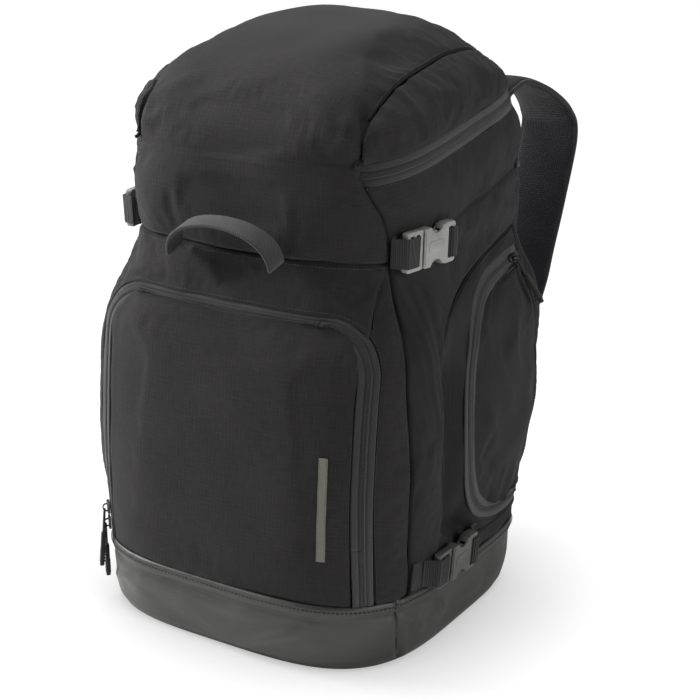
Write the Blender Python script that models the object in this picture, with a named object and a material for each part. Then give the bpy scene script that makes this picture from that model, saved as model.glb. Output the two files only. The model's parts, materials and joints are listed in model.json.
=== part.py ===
"""Backpack-style ski boot bag: sewn panels over a coated base tub, a zipped hood, a fold-down front
pocket, two side boot doors, four compression straps with side-release buckles, and shoulder straps.

Metres. +X is the bag's right-hand side, -Y its front, +Z up. The origin is the centre of the base,
on the ground.
"""

import math

import bmesh
import bpy
from mathutils import Matrix, Vector

# ---------------------------------------------------------------- driving dimensions
FABRIC = 0.004  # a sewn panel: face fabric, foam and lining
FOAM = 0.008  # the back panel is stiffer
TAPE = 0.002  # zipper tape with its coil
GAP = 0.0006  # between neighbouring pieces
TAPE_WIDTH = 0.010  # one side of a zipper
WEB = 0.0018  # webbing thickness
WEB_WIDTH = 0.028

# The horizontal outline is a superellipse. Its size changes with height: (height, value).
HALF_WIDTH = [(0, 0.171), (0.008, 0.1745), (0.04, 0.177), (0.10, 0.181), (0.20, 0.193), (0.29, 0.187),
              (0.385, 0.153), (0.45, 0.154), (0.50, 0.151), (0.54, 0.145)]
FRONT_Y = [(0, -0.191), (0.008, -0.195), (0.04, -0.198), (0.10, -0.200), (0.20, -0.194), (0.30, -0.186),
           (0.335, -0.172), (0.385, -0.158), (0.43, -0.163), (0.50, -0.155)]
BACK_Y = [(0, 0.119), (0.008, 0.125), (0.04, 0.132), (0.20, 0.155), (0.385, 0.170), (0.45, 0.170),
          (0.50, 0.150), (0.54, 0.118)]
MIDDLE_Y = -0.02
FRONT_POWER = 3.6
BACK_POWER = 5.0

BASE_TOP = 0.068  # seam between the coated base and the fabric body
HOOD_SEAM = 0.385  # seam between the body front and the hood
# The upright seam between the side panel and the front wanders: (height, depth).
SEAM = [(0.068, -0.124), (0.17, -0.136), (0.27, -0.138), (0.35, -0.122), (0.385, -0.117), (0.42, -0.124),
        (0.464, -0.1396)]
BACK_CORNER = math.radians(45)  # outline angle of the seam between side panel and back panel

# The hood parts from the body on a slanted plane that rises to the back.
PLANE_Z = 0.468
PLANE_Y = -0.116
PLANE_SLOPE = 0.15
HOOD_SEAM_X = 0.122
TAPE_MARGIN = 0.03  # outline angle between the front panel and the start of the hood's zipper
CROWN = [(-0.17, 0.524), (-0.12, 0.549), (-0.08, 0.562), (-0.03, 0.573), (0.02, 0.580), (0.06, 0.578),
         (0.10, 0.563), (0.14, 0.533), (0.17, 0.504)]
CROWN_DROP = 0.034
CROWN_HALF = 0.14

# The front pocket's zipper is an upside-down U on the front face.
POCKET_HALF = 0.148
POCKET_TOP = 0.333
POCKET_CORNER = 0.045

# The boot door's zipper on the side face, from its top rear end round the front to the bottom: (y, z).
DOOR_EDGE = [(0.098, 0.3475), (0.064, 0.3455), (0.012, 0.335), (-0.026, 0.309), (-0.045, 0.274),
             (-0.051, 0.228), (-0.048, 0.186), (-0.034, 0.150), (-0.008, 0.120), (0.030, 0.104),
             (0.098, 0.0985)]
DOOR_STEPS = 20
DOOR_HINGE_Y = 0.107

# Zipper sliders: (depth, height) on the doors, depth on the hood line, and on the pocket's left leg their
# height and how far their pull hangs to the side.
DOOR_SLIDER = (0.084, 0.3466)
HOOD_SLIDERS = (("front", -0.009), ("rear", 0.009))
POCKET_SLIDERS = (("lower", 0.082, 0.0), ("upper", 0.099, -0.0095))
BRIDGE = 0.0071  # centre of a slider bridge's bar above the slider's underside
CROSSBAR = 0.0049  # centre of a pull's crossbar inside the bridge

# Compression straps: height, and the depth where the socket's mouth sits.
UPPER_STRAP = (0.396, -0.093)
LOWER_STRAP = (0.088, -0.078)

# Shoulder strap centre line on the right side, from the yoke over the top and down.
STRAP_PATH = [(0.085, 0.186, 0.484), (0.089, 0.198, 0.495), (0.094, 0.216, 0.500), (0.104, 0.243, 0.487),
              (0.110, 0.266, 0.465), (0.113, 0.271, 0.438), (0.114, 0.243, 0.370), (0.114, 0.216, 0.310),
              (0.114, 0.199, 0.250), (0.113, 0.190, 0.205)]
STRAP_WIDTH = 0.064
STRAP_THICK = 0.011
STRAP_ANCHOR = (0.126, 0.1360, 0.058)

COLOURS = {
    "ripstop": ((0.020, 0.020, 0.021), 0.80, 0.0),
    "coated": ((0.052, 0.053, 0.050), 0.45, 0.0),
    "lining": ((0.060, 0.062, 0.066), 0.85, 0.0),
    "mesh": ((0.016, 0.020, 0.030), 0.90, 0.0),
    "webbing": ((0.018, 0.018, 0.019), 0.75, 0.0),
    "buckle": ((0.300, 0.300, 0.310), 0.35, 0.0),
    "zipper": ((0.024, 0.024, 0.025), 0.60, 0.0),
    "metal": ((0.080, 0.080, 0.085), 0.35, 0.9),
}


# ---------------------------------------------------------------- scene helpers
def clear_scene():
    for obj in list(bpy.data.objects):
        bpy.data.objects.remove(obj)


def material(name):
    found = bpy.data.materials.get(name)
    if found:
        return found
    colour, roughness, metallic = COLOURS[name]
    made = bpy.data.materials.new(name)
    made.use_nodes = True
    shader = made.node_tree.nodes["Principled BSDF"]
    shader.inputs["Base Color"].default_value = (*colour, 1)
    shader.inputs["Roughness"].default_value = roughness
    shader.inputs["Metallic"].default_value = metallic
    return made


def add_mesh(name, points, faces, finish):
    mesh = bpy.data.meshes.new(name)
    mesh.from_pydata([tuple(p) for p in points], [], faces)
    bm = bmesh.new()
    bm.from_mesh(mesh)
    bmesh.ops.remove_doubles(bm, verts=bm.verts, dist=1e-6)
    bmesh.ops.recalc_face_normals(bm, faces=bm.faces)
    bm.to_mesh(mesh)
    bm.free()
    mesh.shade_smooth()
    mesh.materials.append(material(finish))
    obj = bpy.data.objects.new(name, mesh)
    bpy.context.scene.collection.objects.link(obj)
    return obj


def pivot(point, *names):
    """Puts the origins of these pieces on their joint axis. Their shapes stay where they are."""
    for name in names:
        obj = bpy.data.objects[name]
        obj.data.transform(Matrix.Translation(-Vector(point)))
        obj.location = point


def helper(obj):
    """Marks a cutter, which is no part of the bag."""
    obj.hide_render = True
    obj.display_type = "WIRE"
    return obj


def boolean(obj, cutter, operation="DIFFERENCE"):
    modifier = obj.modifiers.new(operation.title(), "BOOLEAN")
    modifier.operation = operation
    modifier.object = cutter
    return obj


# ---------------------------------------------------------------- curves and outlines
def read(table, at):
    """Smooth value from a table of (position, value), held level past its ends."""
    if at <= table[0][0]:
        return table[0][1]
    if at >= table[-1][0]:
        return table[-1][1]
    i = max(k for k in range(len(table) - 1) if table[k][0] <= at)
    (p0, v0), (p1, v1) = table[i], table[i + 1]

    def slope(k):
        if k in (0, len(table) - 1):
            return 0.0
        before = (table[k][1] - table[k - 1][1]) / (table[k][0] - table[k - 1][0])
        after = (table[k + 1][1] - table[k][1]) / (table[k + 1][0] - table[k][0])
        return 2 * before * after / (before + after) if before * after > 0 else 0.0

    step = p1 - p0
    t = (at - p0) / step
    return (v0 * (1 + 2 * t) * (1 - t) ** 2 + slope(i) * step * t * (1 - t) ** 2
            + v1 * t * t * (3 - 2 * t) + slope(i + 1) * step * t * t * (t - 1))


def spline(points, count):
    """Evenly parametrised Catmull-Rom curve through the points."""
    ends = [Vector(p) for p in points]
    ends = [2 * ends[0] - ends[1]] + ends + [2 * ends[-1] - ends[-2]]
    spans = len(points) - 1
    curve = []
    for k in range(count):
        along = k / (count - 1) * spans
        i = min(int(along), spans - 1)
        t = along - i
        a, b, c, d = ends[i:i + 4]
        curve.append(0.5 * ((2 * b) + (c - a) * t + (2 * a - 5 * b + 4 * c - d) * t * t
                            + (3 * b - a - 3 * c + d) * t ** 3))
    return curve


def sizes(z, inset):
    return (read(HALF_WIDTH, z) - inset, MIDDLE_Y - read(FRONT_Y, z) - inset,
            read(BACK_Y, z) - MIDDLE_Y - inset)


def outline(z, angle, inset=0.0):
    """Point of the outline at a height. Angle -90 degrees is the front centre, 0 the right side."""
    half, front, back = sizes(z, inset)
    c, s = math.cos(angle), math.sin(angle)
    power = FRONT_POWER if s < 0 else BACK_POWER
    x = half * math.copysign(abs(c) ** (2 / power), c)
    reach = front if s < 0 else back
    return Vector((x, MIDDLE_Y + reach * math.copysign(abs(s) ** (2 / power), s), z))


def angle_at_y(z, y):
    """Outline angle of the right side's point at this depth, ahead of the middle."""
    return -math.asin(((MIDDLE_Y - y) / sizes(z, 0)[1]) ** (FRONT_POWER / 2))


def angle_at_x(z, x):
    """Outline angle of the front's point at this x, on the right."""
    return -math.acos(min(1.0, x / sizes(z, 0)[0]) ** (FRONT_POWER / 2))


def front_point(x, z, inset=0.0):
    angle = angle_at_x(z, abs(x))
    return outline(z, angle if x > 0 else -math.pi - angle, inset)


def back_point(x, z, inset=0.0):
    half, _, back = sizes(z, inset)
    share = max(0.0, 1 - (abs(x) / half) ** BACK_POWER)
    return Vector((x, MIDDLE_Y + back * share ** (1 / BACK_POWER), z))


def side_point(y, z, inset=0.0):
    if y < MIDDLE_Y:
        return outline(z, angle_at_y(z, y), inset)
    return outline(z, math.asin(((y - MIDDLE_Y) / sizes(z, 0)[2]) ** (BACK_POWER / 2)), inset)


def seam_angle(z, shift=0.0):
    """Outline angle of the upright seam on the right, moved back by shift."""
    return angle_at_y(z, read(SEAM, z) + shift)


def wing_z(y):
    """Height of the folded edge where the side panel ends below its collar."""
    return 0.413 + 0.18 * y


def plane_z(y):
    return PLANE_Z + PLANE_SLOPE * (y - PLANE_Y)


def ring_point(angle, inset=0.0, lift=0.0):
    """Point of the slanted parting line between body and hood."""
    z = PLANE_Z
    for _ in range(8):
        z = plane_z(outline(z, angle, inset).y) + lift
    return outline(z, angle, inset)


def mirrored(obj, name):
    """A left-hand copy of a right-hand piece, with its cuts."""
    graph = bpy.context.evaluated_depsgraph_get()
    source = obj.evaluated_get(graph).to_mesh()
    points = [Vector((-v.co.x, v.co.y, v.co.z)) for v in source.vertices]
    faces = [tuple(reversed(p.vertices)) for p in source.polygons]
    return add_mesh(name, points, faces, obj.data.materials[0].name)


# ---------------------------------------------------------------- solid builders
def patch(name, surface, across, along, thick, finish, start=0.0):
    """A curved panel. surface(u, v, inset) gives its points; it runs from inset start to start + thick."""
    rows = [[(i, j) for i in range(across + 1)] for j in range(along + 1)]
    points, index = [], {}
    for layer, inset in enumerate((start, start + thick)):
        for row in rows:
            for i, j in row:
                index[layer, i, j] = len(points)
                points.append(surface(i / across, j / along, inset))
    faces = []
    for i in range(across):
        for j in range(along):
            quad = [(i, j), (i + 1, j), (i + 1, j + 1), (i, j + 1)]
            faces.append([index[0, *q] for q in quad])
            faces.append([index[1, *q] for q in reversed(quad)])
    rim = ([(i, 0) for i in range(across)] + [(across, j) for j in range(along)]
           + [(i, along) for i in range(across, 0, -1)] + [(0, j) for j in range(along, 0, -1)])
    for a, b in zip(rim, rim[1:] + rim[:1]):
        faces.append([index[0, *b], index[0, *a], index[1, *a], index[1, *b]])
    return add_mesh(name, points, faces, finish)


def rings_to_solid(name, rings, finish):
    """Skins a stack of closed rings and caps both ends."""
    count = len(rings[0])
    points = [p for ring in rings for p in ring]
    faces = [list(range(count)), [len(points) - 1 - k for k in range(count)]]
    for r in range(len(rings) - 1):
        for k in range(count):
            n = (k + 1) % count
            faces.append([r * count + k, r * count + n, (r + 1) * count + n, (r + 1) * count + k])
    return add_mesh(name, points, faces, finish)


def ribbon(name, path, across, thick, finish):
    """A flat band along a path. across gives the half-width vector at each point."""
    rings = []
    for k, p in enumerate(path):
        ahead = path[min(k + 1, len(path) - 1)] - path[max(k - 1, 0)]
        side = across[k]
        out = ahead.cross(side).normalized() * thick / 2
        rings.append([p - side - out, p + side - out, p + side + out, p - side + out])
    return rings_to_solid(name, rings, finish)


def box(name, low, high, frame, finish, bevel=0.0):
    """A block in a local frame, with its long edges eased where bevel is given."""
    centre = (Vector(low) + Vector(high)) / 2
    size = Vector(high) - Vector(low)
    bm = bmesh.new()
    bmesh.ops.create_cube(bm, size=1, matrix=Matrix.Translation(centre) @ Matrix.Diagonal((*size, 1)))
    if bevel:
        bmesh.ops.bevel(bm, geom=bm.edges[:], offset=bevel, segments=1, affect="EDGES")
    bm.transform(frame)
    mesh = bpy.data.meshes.new(name)
    bm.to_mesh(mesh)
    bm.free()
    mesh.materials.append(material(finish))
    obj = bpy.data.objects.new(name, mesh)
    bpy.context.scene.collection.objects.link(obj)
    return obj


def disc(name, centre, radius, half_height, frame):
    """A round cutter standing along the local z axis."""
    bm = bmesh.new()
    place = Matrix.Translation(centre)
    bmesh.ops.create_cone(bm, cap_ends=True, segments=16, radius1=radius, radius2=radius,
                          depth=2 * half_height, matrix=place)
    bm.transform(frame)
    mesh = bpy.data.meshes.new(name)
    bm.to_mesh(mesh)
    bm.free()
    obj = bpy.data.objects.new(name, mesh)
    bpy.context.scene.collection.objects.link(obj)
    return helper(obj)


def side_frame(y, z, lift, climb=0.0, side=1):
    """Local frame on a side face: x to the rear, z outwards. y is up on the right, down on the left."""
    here = side_point(y, z)
    reach = 0.004
    rise = reach * math.tan(climb)
    rear = (side_point(y + reach, z + rise) - side_point(y - reach, z - rise)).normalized()
    up = side_point(y, z + reach) - side_point(y, z - reach)
    out = rear.cross(up).normalized()
    up = out.cross(rear)
    here += out * lift
    for vector in (here, rear, out, up):
        vector.x *= side
    frame = Matrix((rear, up * side, out)).transposed().to_4x4()
    frame.translation = here
    return frame


# ---------------------------------------------------------------- body shell
def make_base():
    """The coated tub, hollow above its floor."""
    count = 44
    angles = [2 * math.pi * k / count for k in range(count)]
    levels = [0.0, 0.004, 0.010, 0.040, BASE_TOP]
    outer = [[outline(z, a) for a in angles] for z in levels]
    inner = [[outline(max(z, 0.006), a, FABRIC) for a in angles] for z in reversed(levels[1:])]
    rings_to_solid("base_tub", outer + inner, "coated")


def zipper_x(z, offset):
    """Half-width of the pocket zipper's U at a height, moved outwards by offset."""
    straight = POCKET_TOP - POCKET_CORNER
    if z <= straight:
        return POCKET_HALF + offset
    radius = POCKET_CORNER + offset
    rise = min(z - straight, radius)
    return POCKET_HALF - POCKET_CORNER + math.sqrt(max(0.0, radius ** 2 - rise ** 2))


def zipper_path(t, offset):
    """Point (x, z) on the pocket zipper's U, for t from 0 (left foot) to 1 (right foot)."""
    bottom = BASE_TOP + GAP
    leg = POCKET_TOP - POCKET_CORNER - bottom
    arc = math.pi / 2 * POCKET_CORNER
    top = 2 * (POCKET_HALF - POCKET_CORNER)
    s = t * (2 * leg + 2 * arc + top)
    side = -1
    if s > leg + arc + top / 2:
        s = 2 * leg + 2 * arc + top - s
        side = 1
    if s <= leg:
        return side * (POCKET_HALF + offset), bottom + s
    s -= leg
    if s <= arc:
        turn = s / POCKET_CORNER
        reach = POCKET_CORNER + offset
        return (side * (POCKET_HALF - POCKET_CORNER + reach * math.cos(turn)),
                POCKET_TOP - POCKET_CORNER + reach * math.sin(turn))
    return side * (POCKET_HALF - POCKET_CORNER - (s - arc)), POCKET_TOP + offset


def make_front_pocket():
    edge = TAPE_WIDTH + 2 * GAP

    def tape(low, high, foot=0.0):
        def surface(u, v, inset):
            x, z = zipper_path(foot + (1 - 2 * foot) * u, low + (high - low) * v)
            return front_point(x, z, inset)
        return surface

    patch("pocket_zipper_tape_body", tape(GAP, TAPE_WIDTH), 56, 1, TAPE, "zipper", start=0.001)
    patch("pocket_zipper_tape_flap", tape(-TAPE_WIDTH, -GAP, foot=0.07), 48, 1, TAPE, "zipper",
          start=0.001)

    def flap(u, v, inset):
        z = BASE_TOP + GAP + (POCKET_TOP - edge - BASE_TOP - GAP) * math.sin(v * math.pi / 2)
        return front_point((2 * u - 1) * zipper_x(z, -edge), z, inset)

    patch("pocket_flap", flap, 12, 10, FABRIC, "ripstop")

    pivot(front_point(0, BASE_TOP), "pocket_flap", "pocket_zipper_tape_flap")

    def gusset(u, v, inset):
        z = BASE_TOP + GAP + (POCKET_TOP + TAPE_WIDTH - BASE_TOP - GAP) * math.sin(v * math.pi / 2)
        inner = angle_at_x(z, zipper_x(z, edge))
        outer = seam_angle(z, -GAP)
        return outline(z, inner + (outer - inner) * u, inset)

    right = patch("pocket_gusset_right", gusset, 5, 12, FABRIC, "ripstop")
    mirrored(right, "pocket_gusset_left")

    def yoke(u, v, inset):
        low = POCKET_TOP + edge + GAP
        z = low + (HOOD_SEAM - GAP - low) * v
        reach = seam_angle(z, -GAP)
        return outline(z, -math.pi - reach + (2 * reach + math.pi) * u, inset)

    patch("front_yoke", yoke, 16, 3, FABRIC, "ripstop")

    def wall(u, v, inset):
        z = BASE_TOP + 0.004 + (HOOD_SEAM - 0.006 - BASE_TOP) * v
        y = read(SEAM, z) + 0.007
        reach = side_point(y, z).x - FABRIC - 0.008
        return Vector(((2 * u - 1) * reach, y + inset, z))

    patch("pocket_back_wall", wall, 4, 8, 0.003, "lining")


def make_sides():
    def between(low_z, top_z):
        def surface(u, v, inset):
            z = low_z(0)
            for _ in range(8):
                start = seam_angle(z, GAP)
                angle = start + (BACK_CORNER - start) * u
                y = outline(z, angle, inset).y
                z = low_z(y) + (top_z(y) - low_z(y)) * v
            return outline(z, angle, inset)
        return surface

    side = between(lambda y: BASE_TOP + GAP, lambda y: wing_z(y) - GAP)
    collar = between(lambda y: wing_z(y) + GAP, lambda y: plane_z(y) - TAPE_WIDTH - GAP)

    def door_line(offset):
        line = spline([(y, z, 0) for y, z in DOOR_EDGE], DOOR_STEPS + 1)
        moved = []
        for k, p in enumerate(line):
            ahead = line[min(k + 1, DOOR_STEPS)] - line[max(k - 1, 0)]
            moved.append(p + Vector((-ahead.y, ahead.x, 0)).normalized() * -offset)
        return moved

    def door_patch(offset, rear):
        line = door_line(offset)

        def surface(u, v, inset):
            p = line[round(v * DOOR_STEPS)]
            return side_point(p.x + (rear - p.x) * u, p.y, inset)
        return surface

    def door_tape(low, high):
        near, far = door_line(low), door_line(high)

        def surface(u, v, inset):
            k = round(u * DOOR_STEPS)
            p = near[k].lerp(far[k], v)
            return side_point(p.x, p.y, inset)
        return surface

    hole = patch("door_opening_cutter", door_patch(TAPE_WIDTH + GAP, DOOR_HINGE_Y + GAP), 4, DOOR_STEPS,
                 0.016, "ripstop", start=-0.006)
    helper(hole)
    panel = patch("side_panel_right", side, 9, 12, FABRIC, "ripstop")
    boolean(panel, hole)
    mirrored(panel, "side_panel_left")
    upper = patch("side_collar_right", collar, 9, 2, FABRIC, "ripstop")
    mirrored(upper, "side_collar_left")
    door = patch("boot_door_right", door_patch(-TAPE_WIDTH - GAP, DOOR_HINGE_Y - GAP), 5, DOOR_STEPS, FABRIC,
                 "ripstop")
    mirrored(door, "boot_door_left")
    outer = patch("door_zipper_tape_body_right", door_tape(GAP, TAPE_WIDTH), DOOR_STEPS, 1, TAPE, "zipper",
                  start=0.001)
    mirrored(outer, "door_zipper_tape_body_left")
    inner = patch("door_zipper_tape_door_right", door_tape(-TAPE_WIDTH, -GAP), DOOR_STEPS, 1, TAPE, "zipper",
                  start=0.001)
    mirrored(inner, "door_zipper_tape_door_left")
    for word, side in (("right", 1), ("left", -1)):
        hinge = side_point(DOOR_HINGE_Y, 0.20)
        pivot((side * hinge.x, hinge.y, hinge.z), f"boot_door_{word}", f"door_zipper_tape_door_{word}")


def make_back():
    def panel(u, v, inset):
        margin = 0.022
        angle = BACK_CORNER + margin + (math.pi - 2 * (BACK_CORNER + margin)) * u
        low = BASE_TOP + GAP
        top = ring_point(angle, inset, -TAPE_WIDTH - GAP).z
        return outline(low + (top - low) * v, angle, inset)

    patch("back_panel", panel, 10, 12, FOAM, "ripstop")


def make_inside():
    """One tarpaulin boot compartment liner for each side: an upright wall and its roof."""
    wall_x, roof_x = 0.062, 0.140
    low_z, roof_z, sheet = 0.016, 0.355, 0.0025
    near, far = SEAM[4][1] + 0.014, 0.108
    profile = [(wall_x, low_z), (wall_x + sheet, low_z), (wall_x + sheet, roof_z - sheet),
               (roof_x, roof_z - sheet), (roof_x, roof_z), (wall_x, roof_z)]
    rings = [[Vector((x, y, z)) for x, z in profile] for y in (near, far)]
    right = rings_to_solid("boot_liner_right", rings, "lining")
    mirrored(right, "boot_liner_left")


# ---------------------------------------------------------------- hood
def hood_ends():
    """Outline angle where the hood's zipper starts at its front right end."""
    return angle_at_x(PLANE_Z, HOOD_SEAM_X + GAP)


def hood_point(angle, rise, inset, lift):
    """rise runs from 0 on the parting line to 1 at the crown."""
    foot = ring_point(angle, inset, lift)
    centre = Vector((0, 0.01, 0))
    s = math.sin(angle)
    power = 6.0 - (2.6 * s * s if s < 0 else 1.6 * s * s)
    turn = rise * math.pi / 2
    shrink = max(0.0, math.cos(turn)) ** (2 / power)
    climb = math.sin(turn) ** (2 / power)
    x = foot.x * shrink
    y = centre.y + (foot.y - centre.y) * shrink
    ceiling = read(CROWN, y) - CROWN_DROP * (abs(x) / CROWN_HALF) ** 3 - inset
    return Vector((x, y, foot.z + (ceiling - foot.z) * climb))


def hood_shell(name, lift_front):
    """The whole hood as one thin shell. Its lower edge steps up behind the front, over the zipper."""
    start = hood_ends()
    rear, ahead = 24, 12
    margin = 0.03
    rear_sweep = math.pi - 2 * start
    angles = [start + rear_sweep * k / rear for k in range(rear + 1)]
    front_start, front_sweep = math.pi - start + margin, math.pi + 2 * start - 2 * margin
    angles += [front_start + front_sweep * k / ahead for k in range(ahead + 1)]
    lifts = [TAPE_WIDTH + GAP] * (rear + 1) + [lift_front] * (ahead + 1)
    rises = [0, 0.03, 0.10, 0.20, 0.34, 0.52, 0.72, 0.92]

    def ring(rise, inset):
        return [hood_point(a, rise, inset, lift) for a, lift in zip(angles, lifts)]

    rings = [ring(r, 0.0) for r in reversed(rises)] + [ring(r, FABRIC) for r in rises]
    return rings_to_solid(name, rings, "ripstop")


def make_hood():
    far = 0.4
    square = Matrix.Identity(4)
    top = hood_shell("hood_top_panel", GAP)
    middle = box("hood_middle_cutter", (-HOOD_SEAM_X, -far, 0), (HOOD_SEAM_X, far, 1), square, "ripstop")
    boolean(top, helper(middle), "INTERSECT")
    side = hood_shell("hood_side_right", GAP + TAPE_WIDTH)
    flank = box("hood_side_cutter", (HOOD_SEAM_X + GAP, -far, 0), (far, far, 1), square, "ripstop")
    boolean(side, helper(flank), "INTERSECT")
    mirrored(side, "hood_side_left")

    def tape(low, high):
        def surface(u, v, inset):
            start = hood_ends() + TAPE_MARGIN
            angle = start + (math.pi - 2 * start) * u
            return ring_point(angle, inset, low + (high - low) * v)
        return surface

    patch("hood_zipper_tape_hood", tape(GAP, TAPE_WIDTH), 28, 1, TAPE, "zipper", start=0.001)
    hinge = ring_point(-math.pi / 2)
    pivot(hinge, "hood_top_panel", "hood_side_right", "hood_side_left", "hood_zipper_tape_hood")
    patch("hood_zipper_tape_body", tape(-TAPE_WIDTH, -GAP), 28, 1, TAPE, "zipper", start=0.001)

    def front(u, v, inset):
        z = HOOD_SEAM
        for _ in range(6):
            reach = seam_angle(z, -GAP)
            angle = -math.pi - reach + (2 * reach + math.pi) * u
            z = HOOD_SEAM + GAP + (ring_point(angle, lift=-GAP).z - HOOD_SEAM - GAP) * v
        return outline(z, angle, inset)

    patch("hood_front_panel", front, 16, 4, FABRIC, "ripstop")


# ---------------------------------------------------------------- zipper sliders and pulls
def slider(name, frame):
    """Slider body and its bridge. Local x runs along the zipper, z outwards."""
    body = box(name, (-0.0065, -0.005, 0), (0.0065, 0.005, 0.0034), frame, "metal", bevel=0.0006)
    arch = box(name + "_arch", (-0.0045, -0.0012, 0.0030), (0.0045, 0.0012, 0.0078), frame, "metal")
    under = box(name + "_window", (-0.0030, -0.01, 0.0034), (0.0030, 0.01, 0.0064), frame, "metal")
    boolean(body, helper(arch), "UNION")
    boolean(body, helper(under))
    return body


def pull_along(name, frame, aside):
    """Pull that hangs along its zipper: its eye goes round the bridge's lower leg, its cord hangs aside."""
    route = [(0.0008, 0, 0.0034), (-0.0090, 0, 0.0034), (-0.0150, aside * 0.9, 0.0020),
             (-0.0300, aside, 0.0020), (-0.0320, aside, 0.0028), (-0.0500, aside * 1.1, 0.0028)]
    path = [frame @ Vector((x, y, CROSSBAR)) for x, y, _ in route]
    sideways = frame.to_3x3() @ Vector((0, 1, 0))
    tab = ribbon(name, path, [sideways * half for _, _, half in route], 0.0014, "webbing")
    eye = box(name + "_eye", (-0.0072, -0.0020, 0), (-0.0010, 0.0020, 0.02), frame, "metal")
    boolean(tab, helper(eye))


def pull_across(name, frame, down, length):
    """Pull that hangs from a level zipper: a cord loop round the bridge's top bar."""
    spin = Matrix.Translation((0, 0, BRIDGE)) @ Matrix.Rotation(math.pi / 2, 4, "Y")
    low, high = sorted((0, down * length))
    tab = box(name, (-0.0009, low, 0.0056), (0.0009, high, 0.0086), frame, "webbing")
    ring = disc(name + "_ring", (0, 0, 0), 0.0032, 0.0008, frame @ spin)
    hole = disc(name + "_hole", (0, 0, 0), 0.0018, 0.02, frame @ spin)
    boolean(tab, ring, "UNION")
    boolean(tab, hole)


def make_zipper_hardware():
    """A slider on each door, two that meet on the hood's left side, two on the pocket's left leg."""
    for word, side in (("right", 1), ("left", -1)):
        frame = side_frame(*DOOR_SLIDER, 0.0010, side=side)
        slider(f"door_slider_{word}", frame)
        pull_across(f"door_pull_{word}", frame, -side, 0.050)
        pivot(frame @ Vector((0, 0, BRIDGE)), f"door_slider_{word}", f"door_pull_{word}")
    for word, y in HOOD_SLIDERS:
        frame = side_frame(y, plane_z(y), 0.0014, math.atan(PLANE_SLOPE), side=-1)
        slider(f"hood_slider_{word}", frame)
        pull_across(f"hood_pull_{word}", frame, 1, 0.042)
        pivot(frame @ Vector((0, 0, BRIDGE)), f"hood_slider_{word}", f"hood_pull_{word}")
    for word, z, aside in POCKET_SLIDERS:
        frame = front_leg_frame(z)
        slider(f"pocket_slider_{word}", frame)
        pull_along(f"pocket_pull_{word}", frame, aside)
        pivot(frame @ Vector((0, 0, CROSSBAR)), f"pocket_slider_{word}", f"pocket_pull_{word}")


def front_leg_frame(z):
    """Local frame on the pocket zipper's left leg: x up, z outwards."""
    here = front_point(-POCKET_HALF, z)
    up = (front_point(-POCKET_HALF, z + 0.01) - front_point(-POCKET_HALF, z - 0.01)).normalized()
    across = front_point(-POCKET_HALF + 0.004, z) - front_point(-POCKET_HALF - 0.004, z)
    out = across.cross(up).normalized()
    side = out.cross(up).normalized()
    frame = Matrix((up, side, out)).transposed().to_4x4()
    frame.translation = here + out * 0.0008
    return frame


# ---------------------------------------------------------------- buckles and webbing
def socket(name, frame):
    """Female half: a flat case open at the front, finger notches at its sides, a bar at the rear."""
    case = box(name, (0, -0.0185, 0), (0.046, 0.0185, 0.0100), frame, "buckle", bevel=0.0012)
    cavity = box(name + "_cavity", (-0.002, -0.0145, 0.0018), (0.030, 0.0145, 0.0082), frame, "buckle")
    boolean(case, helper(cavity))
    for k, side in enumerate((-1, 1)):
        notch = disc(f"{name}_notch_{k}", (0.017, side * 0.0215, 0.005), 0.0095, 0.02, frame)
        boolean(case, notch)
    slot = box(name + "_slot", (0.0345, -0.0140, -0.01), (0.0415, 0.0140, 0.02), frame, "buckle")
    boolean(case, helper(slot))
    return case


def plug(name, frame):
    """Male half: a two-slot ladder frame with two prongs and a guide tongue inside the socket."""
    base = box(name, (-0.0230, -0.0185, 0.0012), (-0.0006, 0.0185, 0.0080), frame, "buckle", bevel=0.0010)
    for k, (low, high) in enumerate(((-0.0195, -0.0145), (-0.0110, -0.0060))):
        slot = box(f"{name}_slot_{k}", (low, -0.0148, -0.01), (high, 0.0148, 0.02), frame, "buckle")
        boolean(base, helper(slot))
    prongs = (("lower", -0.0115, 0.0020, 0.0225), ("guide", 0.0, 0.0022, 0.0190),
              ("upper", 0.0115, 0.0020, 0.0225))
    for word, at, half, tip in prongs:
        low, high = (-0.002, at - half, 0.0024), (tip, at + half, 0.0071)
        prong = box(f"{name}_prong_{word}", low, high, frame, "buckle")
        boolean(base, helper(prong), "UNION")
    return base


def make_straps():
    for level, (z, mouth) in (("upper", UPPER_STRAP), ("lower", LOWER_STRAP)):
        middle = 0.012
        frame = side_frame(mouth + middle, z, 0.0044)
        frame.translation -= frame.to_3x3() @ Vector((middle, 0, 0))
        case = socket(f"{level}_buckle_socket_right", frame)
        mirrored(case, f"{level}_buckle_socket_left")
        half = plug(f"{level}_buckle_plug_right", frame)
        mirrored(half, f"{level}_buckle_plug_left")

        def strap(u, v, inset, z=z, mouth=mouth):
            start = read(SEAM, z) + 0.004
            y = start + (mouth - 0.002 - start) * u
            return side_point(y, z + WEB_WIDTH * (v - 0.5), inset)

        web = patch(f"{level}_strap_right", strap, 4, 2, WEB, "webbing", start=-0.0038)
        mirrored(web, f"{level}_strap_left")


def make_handle():
    """Webbing grab loop sewn into the hood seam, standing up and out."""
    lean = math.radians(75)
    rise = Vector((0, -math.cos(lean), math.sin(lean)))
    outward = Vector((0, -math.sin(lean), -math.cos(lean)))
    foot = Vector((0, read(FRONT_Y, HOOD_SEAM) - 0.002, HOOD_SEAM)) + outward * 0.0140
    half_span, height = 0.056, 0.037
    path, across = [], []
    for k in range(13):
        turn = math.pi * k / 12
        along = Vector((-half_span * math.cos(turn), 0, 0))
        path.append(foot + along + rise * height * math.sin(turn) ** 0.8)
        across.append(outward * 0.012)
    ribbon("front_handle", path, across, 0.0025, "webbing")
    pivot(foot, "front_handle")


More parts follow.
